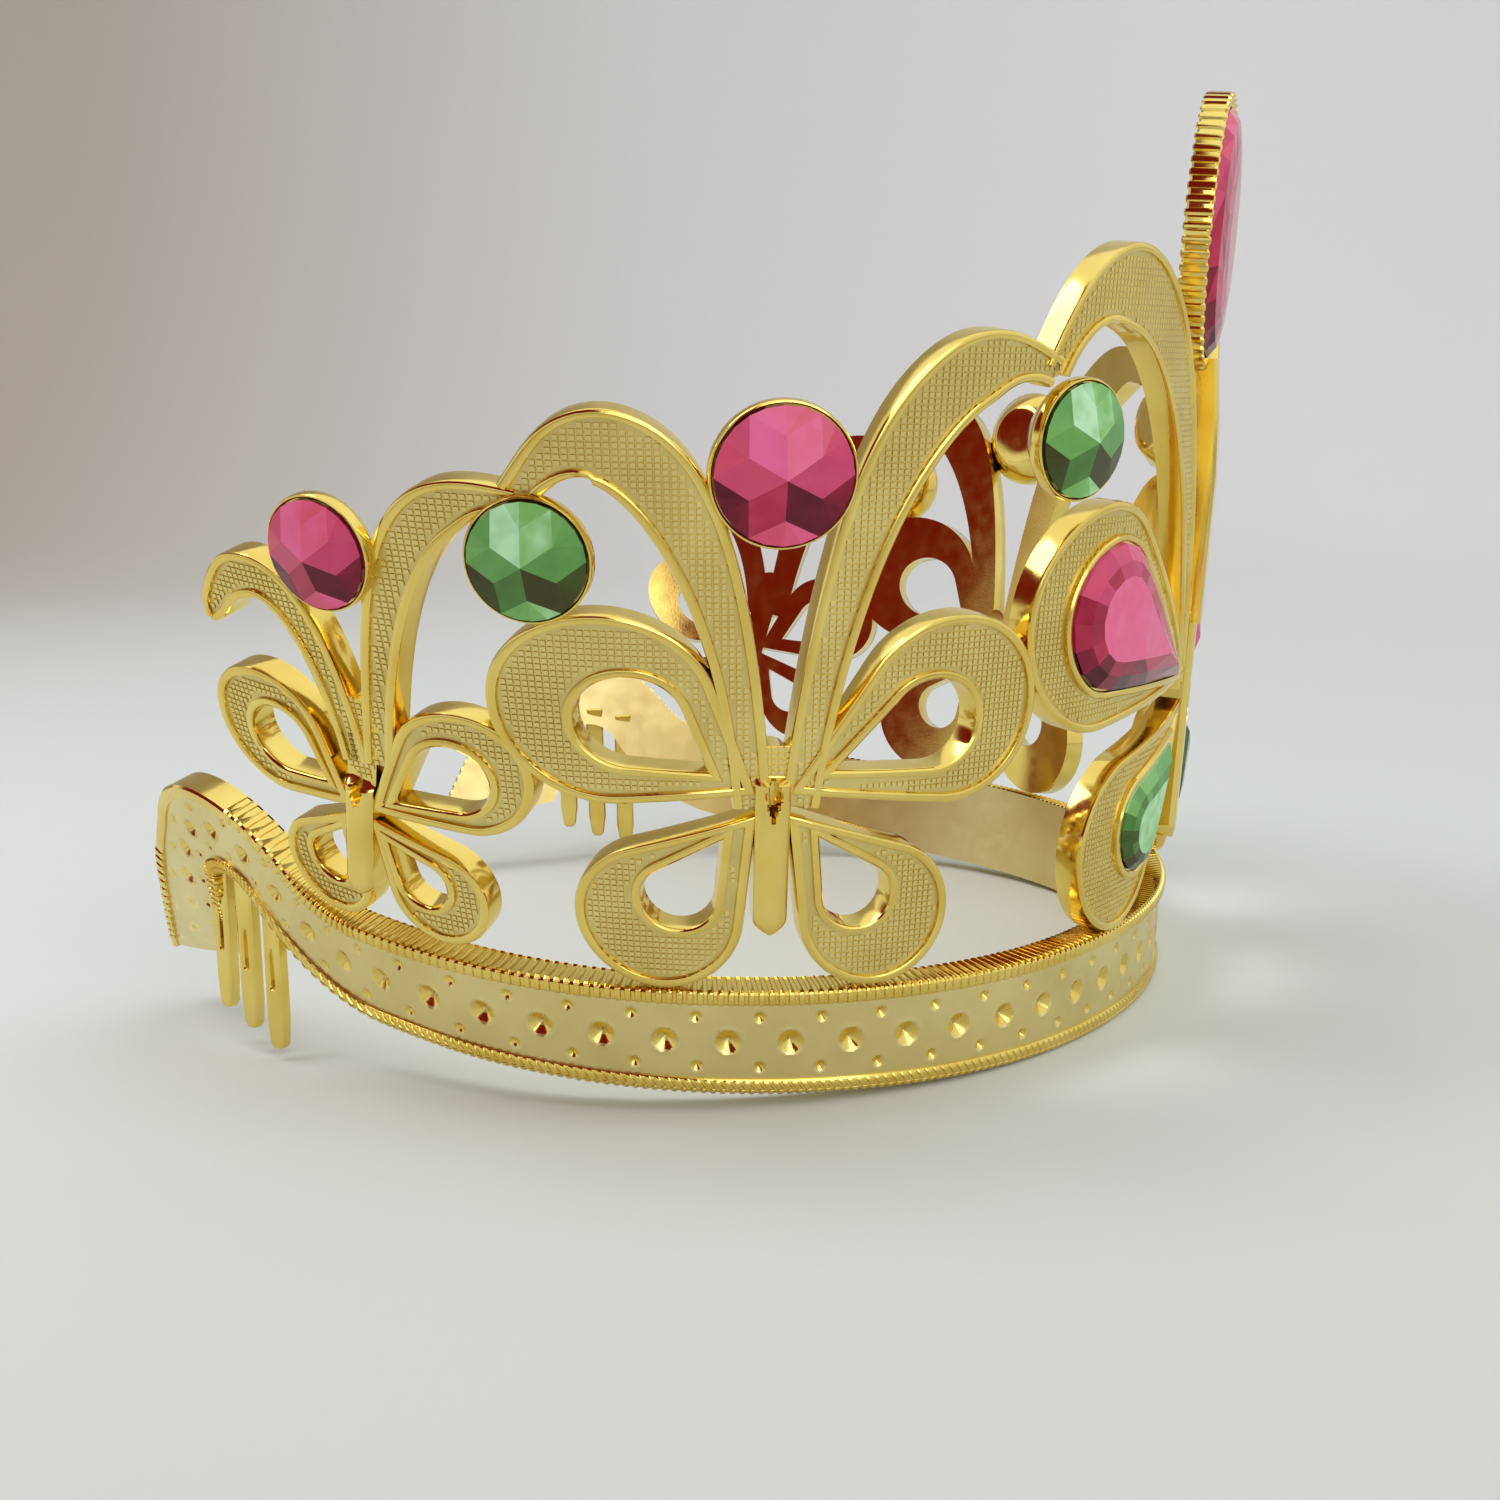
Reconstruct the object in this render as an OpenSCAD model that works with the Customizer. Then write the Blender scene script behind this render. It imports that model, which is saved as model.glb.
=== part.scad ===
// Play tiara: one gold-plated frame with a toothed comb at each rear end, and thirteen faceted stones.
// Every frame piece lies on one flared wall. A point of that wall is given by three lengths:
//   run    along the band from the front centre, towards the wearer's right side
//   up     the height above the band's lower edge, measured up the leaning wall
//   out    outwards from the wall's outer face (negative values go into the material)
// The front faces -Y, and z = 0 is the surface that the tiara stands on.

/* [Band plan] */
// Radius of the front arc
front_radius = 80; // [76:1:86]
// Half angle of the front arc
front_half_angle = 24; // [22:0.5:26]
// Radius of each side arc
side_radius = 60.5; // [58:0.5:64]
// Angle of each side arc
side_angle = 78; // [76:0.5:80]
// Radius of each rear arc
rear_radius = 157; // [140:1:200]

/* [Wall] */
// Outward lean of the wall at the front centre
front_lean = 5; // [3:0.5:7]
// Extra lean that the wall gains towards the rear
rear_lean_gain = 11.8; // [9:0.1:13]
// Run on each side of the front over which the band's lower edge is level
level_run = 12; // [8:1:16]
// Height that the band gains over the next 100 of run
band_rise = 5; // [4:0.1:5.4]

/* [Band] */
// Height of the band
band_h = 13; // [12:0.25:14]
// Depth of the band, from its outer rims to its smooth inner face
band_depth = 4.2; // [3.5:0.1:5]
// Width of the raised rims along both edges
rim_w = 1.8; // [1.4:0.1:2.2]
// Depth of the dimpled face below the rims
face_recess = 0.6; // [0.3:0.1:0.9]
// Run at which the rear hook leaves the straight band
hook_start = 124; // [122.5:0.5:125.5]
// Radius of the upward bend of the hook
hook_rise_radius = 17.9; // [17:0.1:19]
// Angle of the upward bend of the hook
hook_rise_angle = 51.4; // [50:0.2:53]
// Radius of the downward bend over the comb
hook_crown_radius = 10; // [9.5:0.1:10.5]
// Width of the hook at its highest point
waist_w = 11; // [10:0.1:12]
// Length of the straight leg at the rear of the hook
leg_length = 22.5; // [19:0.5:24]
// Width of the leg
leg_w = 14.8; // [13:0.2:16]

/* [Frame pieces] */
// Depth of the wings and antennae behind the wall's outer face
plate_depth = 3.4; // [3:0.1:4]
// Depth of the textured faces below their rims
wing_recess = 0.5; // [0.3:0.1:0.8]
// Width of each butterfly's body bar
body_w = 3.5; // [3:0.1:4]
// How far a body bar stands out from the wings
body_proud = 0.8; // [0.4:0.1:1.2]

/* [Stones] */
// Radius of the two large round stones between the side antennae
large_stone_r = 7.2; // [6.8:0.1:7.4]
// Radius of the four round stones below the antenna tips
tip_stone_r = 6.3; // [5.9:0.1:6.5]
// Radius of the two round stones between the rear antennae
small_stone_r = 6; // [5.6:0.1:6.2]
// Height of the dome of a round stone
dome_h = 3; // [2.4:0.1:3.6]
// Depth of the cups that hold the round stones
cup_depth = 3.8; // [3:0.1:4]
// Wall of the cups
cup_wall = 0.5; // [0.4:0.1:0.8]
// Height of the oval stone at the top
oval_h = 31; // [28:0.5:32]
// Width of the oval stone
oval_w = 23; // [20:0.5:25]
// Height of the dome of the oval stone
oval_dome_h = 2.9; // [2.4:0.1:3.4]

/* [Comb] */
// Number of teeth on each comb
tooth_count = 3; // [2:1:3]
// Distance between teeth along the band
tooth_pitch = 4.9; // [4.5:0.1:5.5]
// Width of a tooth
tooth_w = 2.9; // [2.5:0.1:3.4]
// Depth of a tooth
tooth_depth = 1.6; // [1.2:0.1:2]
// Width of the slot in each tooth
tooth_slot_w = 0.9; // [0.6:0.1:1.2]

/* [Hidden] */
$fn = 64;

gold = "#D9C27A";
pink = "#E0307A";
green = "#4FA35A";

// Lengths of run at which the front arc and the side arc end
front_run = front_radius * front_half_angle * PI / 180;
side_run = front_run + side_radius * side_angle * PI / 180;
// Run over which the wall's extra lean builds up
lean_run = 150;
// Distance from the band's front to the origin, which is under the middle of the tiara
front_to_origin = 58.5;
// Number of steps round a wing outline, and along an antenna
wing_steps = 28;
antenna_steps = 14;
// Distance between stations of the band
band_step = 4;

// ---- The wall ----

// Turn of the band's plan at a run, in degrees from the front
function turn(run) =
    run < front_run ? run / front_radius * 180 / PI
    : run < side_run ? front_half_angle + (run - front_run) / side_radius * 180 / PI
    : front_half_angle + side_angle + (run - side_run) / rear_radius * 180 / PI;

// Outward direction in plan, for a turn on the wearer's right side
function outward(angle) = [-sin(angle), -cos(angle)];

front_mid = [0, front_radius - front_to_origin];
side_mid = front_mid + (front_radius - side_radius) * outward(front_half_angle);
rear_mid = side_mid + (side_radius - rear_radius) * outward(front_half_angle + side_angle);

// Plan position of the outer face's lower edge, for a run of zero or more
function plan(run) =
    run < front_run ? front_mid + front_radius * outward(turn(run))
    : run < side_run ? side_mid + side_radius * outward(turn(run))
    : rear_mid + rear_radius * outward(turn(run));

function lean(run) = front_lean + rear_lean_gain * (1 - cos(180 * min(run / lean_run, 1))) / 2;

function rise(run) = band_rise * pow(max(run - level_run, 0) / 100, 3);

// Point of the wall on the right side
function wall_right(run, up, out) =
    let (
        p = plan(run),
        n = outward(turn(run)),
        a = lean(run),
        reach = up * sin(a) + out * cos(a)
    )
    [p.x + n.x * reach, p.y + n.y * reach, up * cos(a) - out * sin(a) + rise(run)];

// Point of the wall on either side: a negative run lies on the left
function wall(run, up, out) =
    let (q = wall_right(abs(run), up, out)) run < 0 ? [-q.x, q.y, q.z] : q;

// ---- Swept solids ----

// Solid swept through equal rings of points, closed on itself or capped at its ends
module rings_solid(rings, closed = false) {
    count = len(rings);
    size = len(rings[0]);
    points = [for (ring = rings) each ring];
    spans = closed ? count : count - 1;
    sides = [
        for (i = [0 : spans - 1], j = [0 : size - 1])
            let (
                a = i * size + j,
                b = i * size + (j + 1) % size,
                c = ((i + 1) % count) * size + (j + 1) % size,
                d = ((i + 1) % count) * size + j
            )
            each [[a, c, b], [a, d, c]]
    ];
    first_cap = [for (j = [0 : size - 1]) j];
    last_cap = [for (j = [size - 1 : -1 : 0]) (count - 1) * size + j];
    polyhedron(points, closed ? sides : concat(sides, [first_cap], [last_cap]));
}

// Strip on the wall between two edges given as lists of [run, up]
module strip(edge_a, edge_b, front, back) {
    rings_solid([
        for (i = [0 : len(edge_a) - 1])
            [
                wall(edge_a[i].x, edge_a[i].y, front),
                wall(edge_a[i].x, edge_a[i].y, back),
                wall(edge_b[i].x, edge_b[i].y, back),
                wall(edge_b[i].x, edge_b[i].y, front)
            ]
    ]);
}

// ---- Outlines ----

// Distance from the centre of a drop's round lobe to its edge, at an angle away from its point
function drop_reach(r, length, away) =
    let (flank = acos(r / length)) away < flank ? r / cos(flank - away) : r;

// Point number i of a drop outline: [lobe centre, lobe radius, tip]
function drop_point(drop, i, steps) =
    let (
        axis = drop[2] - drop[0],
        length = norm(axis),
        pointing = atan2(axis.y, axis.x),
        away = 360 * i / steps,
        reach = drop_reach(drop[1], length, min(away, 360 - away))
    )
    drop[0] + reach * [cos(pointing + away), sin(pointing + away)];

// Cubic curve through its end points p[0] and p[3]
function curve(p, t) =
    pow(1 - t, 3) * p[0] + 3 * t * pow(1 - t, 2) * p[1] + 3 * t * t * (1 - t) * p[2] + pow(t, 3) * p[3];

function curve_heading(p, t) =
    let (
        d = pow(1 - t, 2) * (p[1] - p[0]) + 2 * t * (1 - t) * (p[2] - p[1]) + t * t * (p[3] - p[2])
    )
    d / norm(d);

// Width of an antenna along its length: root, crest and tip widths
function antenna_width(widths, t) =
    t < 0.7 ? widths[0] + (widths[1] - widths[0]) * (1 - cos(180 * t / 0.7)) / 2
    : widths[2] + (widths[1] - widths[2]) * (1 + cos(180 * (t - 0.7) / 0.3)) / 2;

// ---- Frame pieces ----

// Flat wing with a drop-shaped hole
module pierced_wing(lobe, hole) {
    rings_solid([
        for (i = [0 : wing_steps - 1])
            let (o = drop_point(lobe, i, wing_steps), h = drop_point(hole, i, wing_steps))
            [
                wall(h.x, h.y, 0),
                wall(h.x, h.y, -plate_depth),
                wall(o.x, o.y, -plate_depth),
                wall(o.x, o.y, 0)
            ]
    ], closed = true);
}

// Solid patch of the wall inside a drop outline, built as rings that shrink to its middle
module drop_patch(drop, front, back, dome = 0) {
    shrink = [1, 0.66, 0.33];
    middle = drop[0] + 0.12 * (drop[2] - drop[0]);
    outline = [for (i = [0 : wing_steps - 1]) drop_point(drop, i, wing_steps)];
    ring_count = len(shrink);
    front_points = [
        for (k = [0 : ring_count - 1], p = outline)
            let (q = middle + shrink[k] * (p - middle)) wall(q.x, q.y, front + dome * (1 - shrink[k]))
    ];
    back_points = [
        for (k = [0 : ring_count - 1], p = outline)
            let (q = middle + shrink[k] * (p - middle)) wall(q.x, q.y, back)
    ];
    n = wing_steps;
    back_start = n * ring_count;
    front_middle = 2 * back_start;
    points = concat(
        front_points, back_points,
        [wall(middle.x, middle.y, front + dome)], [wall(middle.x, middle.y, back)]
    );
    rim_faces = [
        for (j = [0 : n - 1])
            let (a = j, b = (j + 1) % n, c = back_start + b, d = back_start + a)
            each [[a, c, b], [a, d, c]]
    ];
    ring_faces = [
        for (k = [0 : ring_count - 2], j = [0 : n - 1])
            let (
                a = k * n + j,
                b = k * n + (j + 1) % n,
                c = b + n,
                d = a + n
            )
            each [
                [a, b, c], [a, c, d],
                [back_start + b, back_start + a, back_start + c],
                [back_start + c, back_start + a, back_start + d]
            ]
    ];
    last = (ring_count - 1) * n;
    middle_faces = [
        for (j = [0 : n - 1])
            let (a = last + j, b = last + (j + 1) % n)
            each [[a, b, front_middle], [back_start + b, back_start + a, front_middle + 1]]
    ];
    polyhedron(points, concat(rim_faces, ring_faces, middle_faces));
}

// Antenna: a strip along a curve, widest at its crest
module antenna(path, widths) {
    edges = [
        for (i = [0 : antenna_steps])
            let (
                t = i / antenna_steps,
                p = curve(path, t),
                d = curve_heading(path, t),
                w = antenna_width(widths, t) / 2
            )
            [p + w * [-d.y, d.x], p - w * [-d.y, d.x]]
    ];
    strip([for (e = edges) e[0]], [for (e = edges) e[1]], 0, -plate_depth);
}

// Upright bar through a list of levels: [run, up, half width, back, front]
module bar(levels) {
    rings_solid([
        for (l = levels)
            [
                wall(l[0] - l[2], l[1], l[4]),
                wall(l[0] - l[2], l[1], l[3]),
                wall(l[0] + l[2], l[1], l[3]),
                wall(l[0] + l[2], l[1], l[4])
            ]
    ]);
}

// Body bar of a butterfly from its foot to its head, with a bevelled end at each
module body_bar(foot, head) {
    w = body_w / 2;
    along = (head - foot) / norm(head - foot);
    stations = [foot, foot + w * along, (foot + head) / 2, head - w * along, head];
    widths = [0.3, 1, 1, 1, 0.3];
    bar([
        for (i = [0 : 4])
            [stations[i].x, stations[i].y, w * widths[i], -plate_depth, body_proud]
    ]);
}

// ---- Band ----

// Angle below level at which the hook's leg runs down
leg_angle = 65;
// Share of its width by which the leg's end is slanted
end_slant = 1.3;

rise_length = hook_rise_radius * hook_rise_angle * PI / 180;
crown_length = hook_crown_radius * (hook_rise_angle + leg_angle) * PI / 180;
hook_length = rise_length + crown_length + leg_length;
hook_steps = 32;

// Parts of the hook's length at which it is narrowest, at which it starts to widen and is at
// its full width again, and at which the leg begins
waist_at = (rise_length + hook_crown_radius * hook_rise_angle * PI / 180) / hook_length;
widen_from = 0.58;
widen_to = 0.8;
leg_from = 1 - leg_length / hook_length;

// Centre line of the rear hook: [run, up, heading] at a distance along it
function hook_line(distance) =
    let (
        a = min(distance, rise_length) / hook_rise_radius * 180 / PI,
        b = min(max(distance - rise_length, 0), crown_length) / hook_crown_radius * 180 / PI,
        rest = max(distance - rise_length - crown_length, 0),
        rise_end = [
            hook_start + hook_rise_radius * sin(a),
            band_h / 2 + hook_rise_radius * (1 - cos(a))
        ],
        heading = a - b
    )
    [
        rise_end.x + hook_crown_radius * (sin(a) - sin(heading)) + rest * cos(heading),
        rise_end.y + hook_crown_radius * (cos(heading) - cos(a)) + rest * sin(heading),
        heading
    ];

// Smooth step from 0 to 1 as t goes from 0 to 1
function ease(t) = (1 - cos(180 * min(max(t, 0), 1))) / 2;

// Width of the hook at a part of its length from 0 to 1
function hook_width(part) =
    part < waist_at
    ? band_h + (waist_w - band_h) * ease(part / waist_at)
    : waist_w + (leg_w - waist_w) * ease((part - widen_from) / (widen_to - widen_from));

// One ring of the band's cross-section: [run, up] of its lower and upper edge.
// The lower edge is level from the outer face to the inner one.
function band_ring(low, high) =
    let (
        along = (high - low) / norm(high - low),
        low_rim = low + rim_w * along,
        high_rim = high - rim_w * along,
        level = band_depth * tan(lean(low.x))
    )
    [
        wall(high.x, high.y, 0),
        wall(high.x, high.y, -band_depth),
        wall(low.x, low.y - level, -band_depth),
        wall(low.x, low.y, 0),
        wall(low_rim.x, low_rim.y, 0),
        wall(low_rim.x, low_rim.y, -face_recess),
        wall(high_rim.x, high_rim.y, -face_recess),
        wall(high_rim.x, high_rim.y, 0)
    ];

function hook_ring(part) =
    let (
        p = hook_line(part * hook_length),
        slant = end_slant * ease((part - leg_from) / (1 - leg_from)),
        across = [-sin(p[2]), cos(p[2])] + slant * [cos(p[2]), sin(p[2])],
        half = hook_width(part) / 2 * across,
        mid = [p[0], p[1]]
    )
    band_ring(mid - half, mid + half);

module half_band() {
    straight_steps = round(hook_start / band_step);
    rings_solid(concat(
        [
            for (i = [0 : straight_steps - 1])
                let (run = hook_start * i / straight_steps) band_ring([run, 0], [run, band_h])
        ],
        [for (i = [0 : hook_steps]) hook_ring(i / hook_steps)]
    ));
}

module band() {
    color(gold) {
        half_band();
        mirror([1, 0, 0])
            half_band();
    }
}

// ---- Comb ----

// Run of the middle of the comb, and how far behind the outer face its teeth lie
comb_centre = 146;
comb_out = -1.8;
// Height on the hook over which the teeth stand, and to which they are rooted
tooth_foot_up = 9.5;
tooth_root_up = 14;
// Height of the slot, and its distance from the tooth's foot
tooth_slot_h = 4.5;
slot_above_foot = 8;
// Height of the front tooth's foot, and of each foot above that of its front neighbour
first_foot = 1.5;
foot_step = 1.8;
// Height over which a foot narrows, and the share of the width left at its end
foot_taper = 3.5;
foot_share = 0.75;

// Tooth number i from the front: an upright bar with a narrow foot and a slot
module tooth(i) {
    run = comb_centre + (i - (tooth_count - 1) / 2) * tooth_pitch;
    p = wall(run, tooth_foot_up, comb_out - tooth_depth / 2);
    foot = first_foot + i * foot_step;
    root = wall(run, tooth_root_up, comb_out).z;
    w = tooth_w / 2;
    translate([p.x, p.y, 0])
        rotate([90, 0, -turn(run)])
            translate([0, 0, -tooth_depth / 2])
                linear_extrude(tooth_depth)
                    difference() {
                        polygon([
                            [-w * foot_share, foot], [w * foot_share, foot], [w, foot + foot_taper],
                            [w, root], [-w, root], [-w, foot + foot_taper]
                        ]);
                        translate([-tooth_slot_w / 2, foot + slot_above_foot])
                            square([tooth_slot_w, tooth_slot_h]);
                    }
}

module comb() {
    for (i = [0 : tooth_count - 1])
        tooth(i);
}

// ---- Butterflies: outlines are given as [run, up] ----

front_upper_wing = [[34.5, 53.2], 13.6, [1.5, 42.5]];
front_lower_wing = [[23.8, 24.1], 11.2, [1.5, 39]];
upper_drop = [[32.5, 53.2], 8.8, [8.5, 43.2]];
lower_drop = [[19.5, 25.5], 5.8, [9, 34.5]];
front_path = [[3.2, 41], [7, 73], [36, 108], [47.2, 81.6]];

// Each butterfly's wings: upper rear, upper front, lower rear, lower front
side_wing_outlines = [
    [[91.6, 45.6], 10.6, [77.5, 36.4]], [[56.8, 45], 10.7, [74.5, 36.4]],
    [[87.4, 21.9], 8.6, [77.5, 34.2]], [[64.5, 21.9], 8.6, [74.5, 34.2]]
];
side_wing_holes = [
    [[89.3, 44.4], 5, [82.2, 39]], [[59.2, 43.6], 5, [69.8, 39]],
    [[85.4, 24.3], 3.7, [80.9, 31.2]], [[66.8, 24.3], 3.7, [71.1, 31.2]]
];
side_front_path = [[73.2, 35], [69, 72.7], [60, 87.7], [47.4, 81.4]];
side_rear_path = [[78, 35], [79.8, 66.7], [89, 82.7], [97.2, 68.6]];

end_wing_outlines = [
    [[128.5, 36.9], 7.5, [119.4, 30]], [[105.7, 36.7], 7.2, [117, 30]],
    [[125.3, 20.8], 5.9, [119.8, 29.2]], [[111, 20.8], 5.9, [117.4, 29.2]]
];
end_wing_holes = [
    [[127.2, 36.2], 3.8, [122.2, 32.6]], [[106.9, 35.9], 3.8, [113.4, 32]],
    [[124.4, 22], 2.6, [121.8, 26.4]], [[112.4, 22], 2.7, [115.6, 26.4]]
];
end_front_path = [[114.6, 36], [110.5, 58], [107, 69.8], [97.6, 67.6]];
end_rear_path = [[117.4, 36], [118, 56], [126.2, 61.8], [132.6, 49.4]];

module pierced_wings(outlines, holes) {
    color(gold)
        for (i = [0 : len(outlines) - 1])
            pierced_wing(outlines[i], holes[i]);
}

module front_wings() {
    color(gold) {
        drop_patch(front_upper_wing, -wing_recess, -plate_depth);
        drop_patch(front_lower_wing, -wing_recess, -plate_depth);
    }
}

// Body of the front butterfly, with the stem that carries the oval setting
module front_body() {
    stem_w = 1.7;
    color(gold) {
        body_bar([0, 20], [0, 52]);
        bar([[0, 49, stem_w, -2, 1.3], [0, 68, stem_w, -1.6, 1.3], [0, 83, stem_w, -2.6, 0]]);
    }
}

module front_antenna() {
    color(gold)
        antenna(front_path, [4.6, 9.8, 3.6]);
}

module side_wings() {
    pierced_wings(side_wing_outlines, side_wing_holes);
}

module side_body() {
    color(gold)
        body_bar([76.2, 20.3], [75.9, 42]);
}

module side_front_antenna() {
    color(gold)
        antenna(side_front_path, [4, 7.8, 3.6]);
}

module side_rear_antenna() {
    color(gold)
        antenna(side_rear_path, [3.8, 8, 3.6]);
}

module end_wings() {
    pierced_wings(end_wing_outlines, end_wing_holes);
}

module end_body() {
    color(gold)
        body_bar([121.1, 19], [114.9, 43.6]);
}

module end_front_antenna() {
    color(gold)
        antenna(end_front_path, [3.4, 5.6, 3]);
}

module end_rear_antenna() {
    color(gold)
        antenna(end_rear_path, [3.4, 5.2, 3.4]);
}

// ---- Stones and their cups ----

// Centres of the round stones on the wall
side_stone_at = [75.6, 71.3];
end_stone_at = [115.1, 60.7];
front_tip_stone_at = [43.8, 74.2];
rear_tip_stone_at = [96.6, 62];
// Place of the oval on the wall, and its own lean
oval_up = 98.5;
oval_lean = 5;
oval_out = -2.3;

// Puts a piece on the wall with its +Z outwards and its +Y up
module on_wall(at, out = 0) {
    translate(wall(at.x, at.y, out))
        rotate([90 + lean(at.x), 0, -turn(at.x)])
            children();
}

// Shallow round cup, open at the front
module cup(r) {
    rotate_extrude()
        polygon([
            [0, -cup_depth], [r * 0.6, -cup_depth], [r + cup_wall, -0.8],
            [r + cup_wall, 0.6], [r + 0.05, 0.6], [r + 0.05, 0], [0, 0]
        ]);
}

// Faceted dome: a low rim, six main facets and a flat back
module round_stone(r) {
    girdle = 0.8;
    shoulder_r = r * 0.62;
    shoulder_h = dome_h * 0.74;
    rim = [for (i = [0 : 11]) r * [cos(30 * i), sin(30 * i)]];
    shoulder = [for (i = [0 : 5]) shoulder_r * [cos(60 * i + 30), sin(60 * i + 30)]];
    hull() {
        linear_extrude(girdle)
            polygon(rim);
        linear_extrude(shoulder_h)
            polygon(shoulder);
        cylinder(h = dome_h, r = 0.4, $fn = 6);
    }
}

module cup_on_wall(at, r) {
    color(gold)
        on_wall(at, 0.4)
            cup(r);
}

module stone_on_wall(at, r, tint) {
    color(tint)
        on_wall(at, 0.4)
            round_stone(r);
}

// Puts a piece in the plane of the oval setting
module on_oval() {
    translate(wall(0, oval_up, oval_out))
        rotate([90 + oval_lean, 0, 0])
            children();
}

module ellipse_prism(w, h, depth) {
    steps = 40;
    linear_extrude(depth)
        polygon([for (i = [0 : steps - 1]) [w / 2 * cos(360 * i / steps), h / 2 * sin(360 * i / steps)]]);
}

oval_rim = 1.9;
oval_setting_depth = 3.2;
oval_lip = 0.8;

module oval_setting() {
    color(gold)
        on_oval()
            difference() {
                translate([0, 0, -oval_setting_depth + oval_lip])
                    ellipse_prism(oval_w + 2 * oval_rim, oval_h + 2 * oval_rim, oval_setting_depth);
                ellipse_prism(oval_w, oval_h, 2 * oval_lip);
            }
}

// Oval dome in three steps of facets
module oval_stone() {
    steps = 24;
    levels = [[1, 0], [1, 0.9], [0.8, 0.62 * oval_dome_h + 0.3], [0.5, 0.92 * oval_dome_h], [0.22, oval_dome_h]];
    color(pink)
        on_oval()
            rings_solid([
                for (level = levels)
                    [
                        for (i = [0 : steps - 1])
                            let (a = 360 * i / steps)
                            [
                                level[0] * (oval_w / 2 - 0.05) * cos(a),
                                level[0] * (oval_h / 2 - 0.05) * sin(a),
                                level[1]
                            ]
                    ]
            ]);
}

module upper_drop_stone() {
    color(pink)
        drop_patch(upper_drop, 0.6, -wing_recess, 1.2);
}

module lower_drop_stone() {
    color(green)
        drop_patch(lower_drop, 0.6, -wing_recess, 1);
}

// Pieces are modelled on the wearer's right side; the left side is their mirror image
module on_left() {
    mirror([1, 0, 0])
        children();
}

band();
color(gold) comb();  // comb_right
color(gold) on_left() comb();  // comb_left
front_wings();  // front_wings_right
on_left() front_wings();  // front_wings_left
front_body();
front_antenna();  // front_antenna_right
on_left() front_antenna();  // front_antenna_left
side_wings();  // side_wings_right
on_left() side_wings();  // side_wings_left
side_body();  // side_body_right
on_left() side_body();  // side_body_left
side_front_antenna();  // side_front_antenna_right
on_left() side_front_antenna();  // side_front_antenna_left
side_rear_antenna();  // side_rear_antenna_right
on_left() side_rear_antenna();  // side_rear_antenna_left
end_wings();  // end_wings_right
on_left() end_wings();  // end_wings_left
end_body();  // end_body_right
on_left() end_body();  // end_body_left
end_front_antenna();  // end_front_antenna_right
on_left() end_front_antenna();  // end_front_antenna_left
end_rear_antenna();  // end_rear_antenna_right
on_left() end_rear_antenna();  // end_rear_antenna_left
oval_setting();
cup_on_wall(side_stone_at, large_stone_r);  // side_cup_right
on_left() cup_on_wall(side_stone_at, large_stone_r);  // side_cup_left
cup_on_wall(end_stone_at, small_stone_r);  // end_cup_right
on_left() cup_on_wall(end_stone_at, small_stone_r);  // end_cup_left
cup_on_wall(front_tip_stone_at, tip_stone_r);  // front_tip_cup_right
on_left() cup_on_wall(front_tip_stone_at, tip_stone_r);  // front_tip_cup_left
cup_on_wall(rear_tip_stone_at, tip_stone_r);  // rear_tip_cup_right
on_left() cup_on_wall(rear_tip_stone_at, tip_stone_r);  // rear_tip_cup_left
oval_stone();
stone_on_wall(side_stone_at, large_stone_r, pink);  // side_stone_right
on_left() stone_on_wall(side_stone_at, large_stone_r, pink);  // side_stone_left
stone_on_wall(end_stone_at, small_stone_r, pink);  // end_stone_right
on_left() stone_on_wall(end_stone_at, small_stone_r, pink);  // end_stone_left
stone_on_wall(front_tip_stone_at, tip_stone_r, green);  // front_tip_stone_right
on_left() stone_on_wall(front_tip_stone_at, tip_stone_r, green);  // front_tip_stone_left
stone_on_wall(rear_tip_stone_at, tip_stone_r, green);  // rear_tip_stone_right
on_left() stone_on_wall(rear_tip_stone_at, tip_stone_r, green);  // rear_tip_stone_left
upper_drop_stone();  // upper_drop_stone_right
on_left() upper_drop_stone();  // upper_drop_stone_left
lower_drop_stone();  // lower_drop_stone_right
on_left() lower_drop_stone();  // lower_drop_stone_left
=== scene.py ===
# %% [markdown]
# # A gold butterfly tiara with pink and green stones
# The real object is one thin plastic moulding, plated gold, with thirteen glued-in stones. Everything
# on it lies on one flared wall that runs round the head. So the lesson is built on a single idea: model
# each piece flat, as it would look on the mould maker's drawing, and then wrap it on the wall.
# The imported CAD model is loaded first. It fixes where every piece is and how big it may be.

# %% Load the frame
import math

import bpy
import numpy as np
from mathutils import Matrix, Vector


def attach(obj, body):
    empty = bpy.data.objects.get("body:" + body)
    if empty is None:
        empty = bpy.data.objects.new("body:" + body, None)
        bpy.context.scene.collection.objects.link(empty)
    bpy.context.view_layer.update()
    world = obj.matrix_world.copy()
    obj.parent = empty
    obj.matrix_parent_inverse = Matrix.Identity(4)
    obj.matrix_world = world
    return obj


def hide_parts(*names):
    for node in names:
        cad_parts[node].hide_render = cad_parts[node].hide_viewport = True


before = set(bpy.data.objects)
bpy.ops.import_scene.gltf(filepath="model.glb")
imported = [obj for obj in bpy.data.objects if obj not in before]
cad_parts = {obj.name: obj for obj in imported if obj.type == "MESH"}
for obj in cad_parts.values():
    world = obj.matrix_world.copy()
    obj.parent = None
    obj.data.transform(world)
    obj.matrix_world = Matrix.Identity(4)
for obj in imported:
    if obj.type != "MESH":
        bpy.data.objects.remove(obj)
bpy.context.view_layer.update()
print("CAD nodes:", len(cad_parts))

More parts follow.
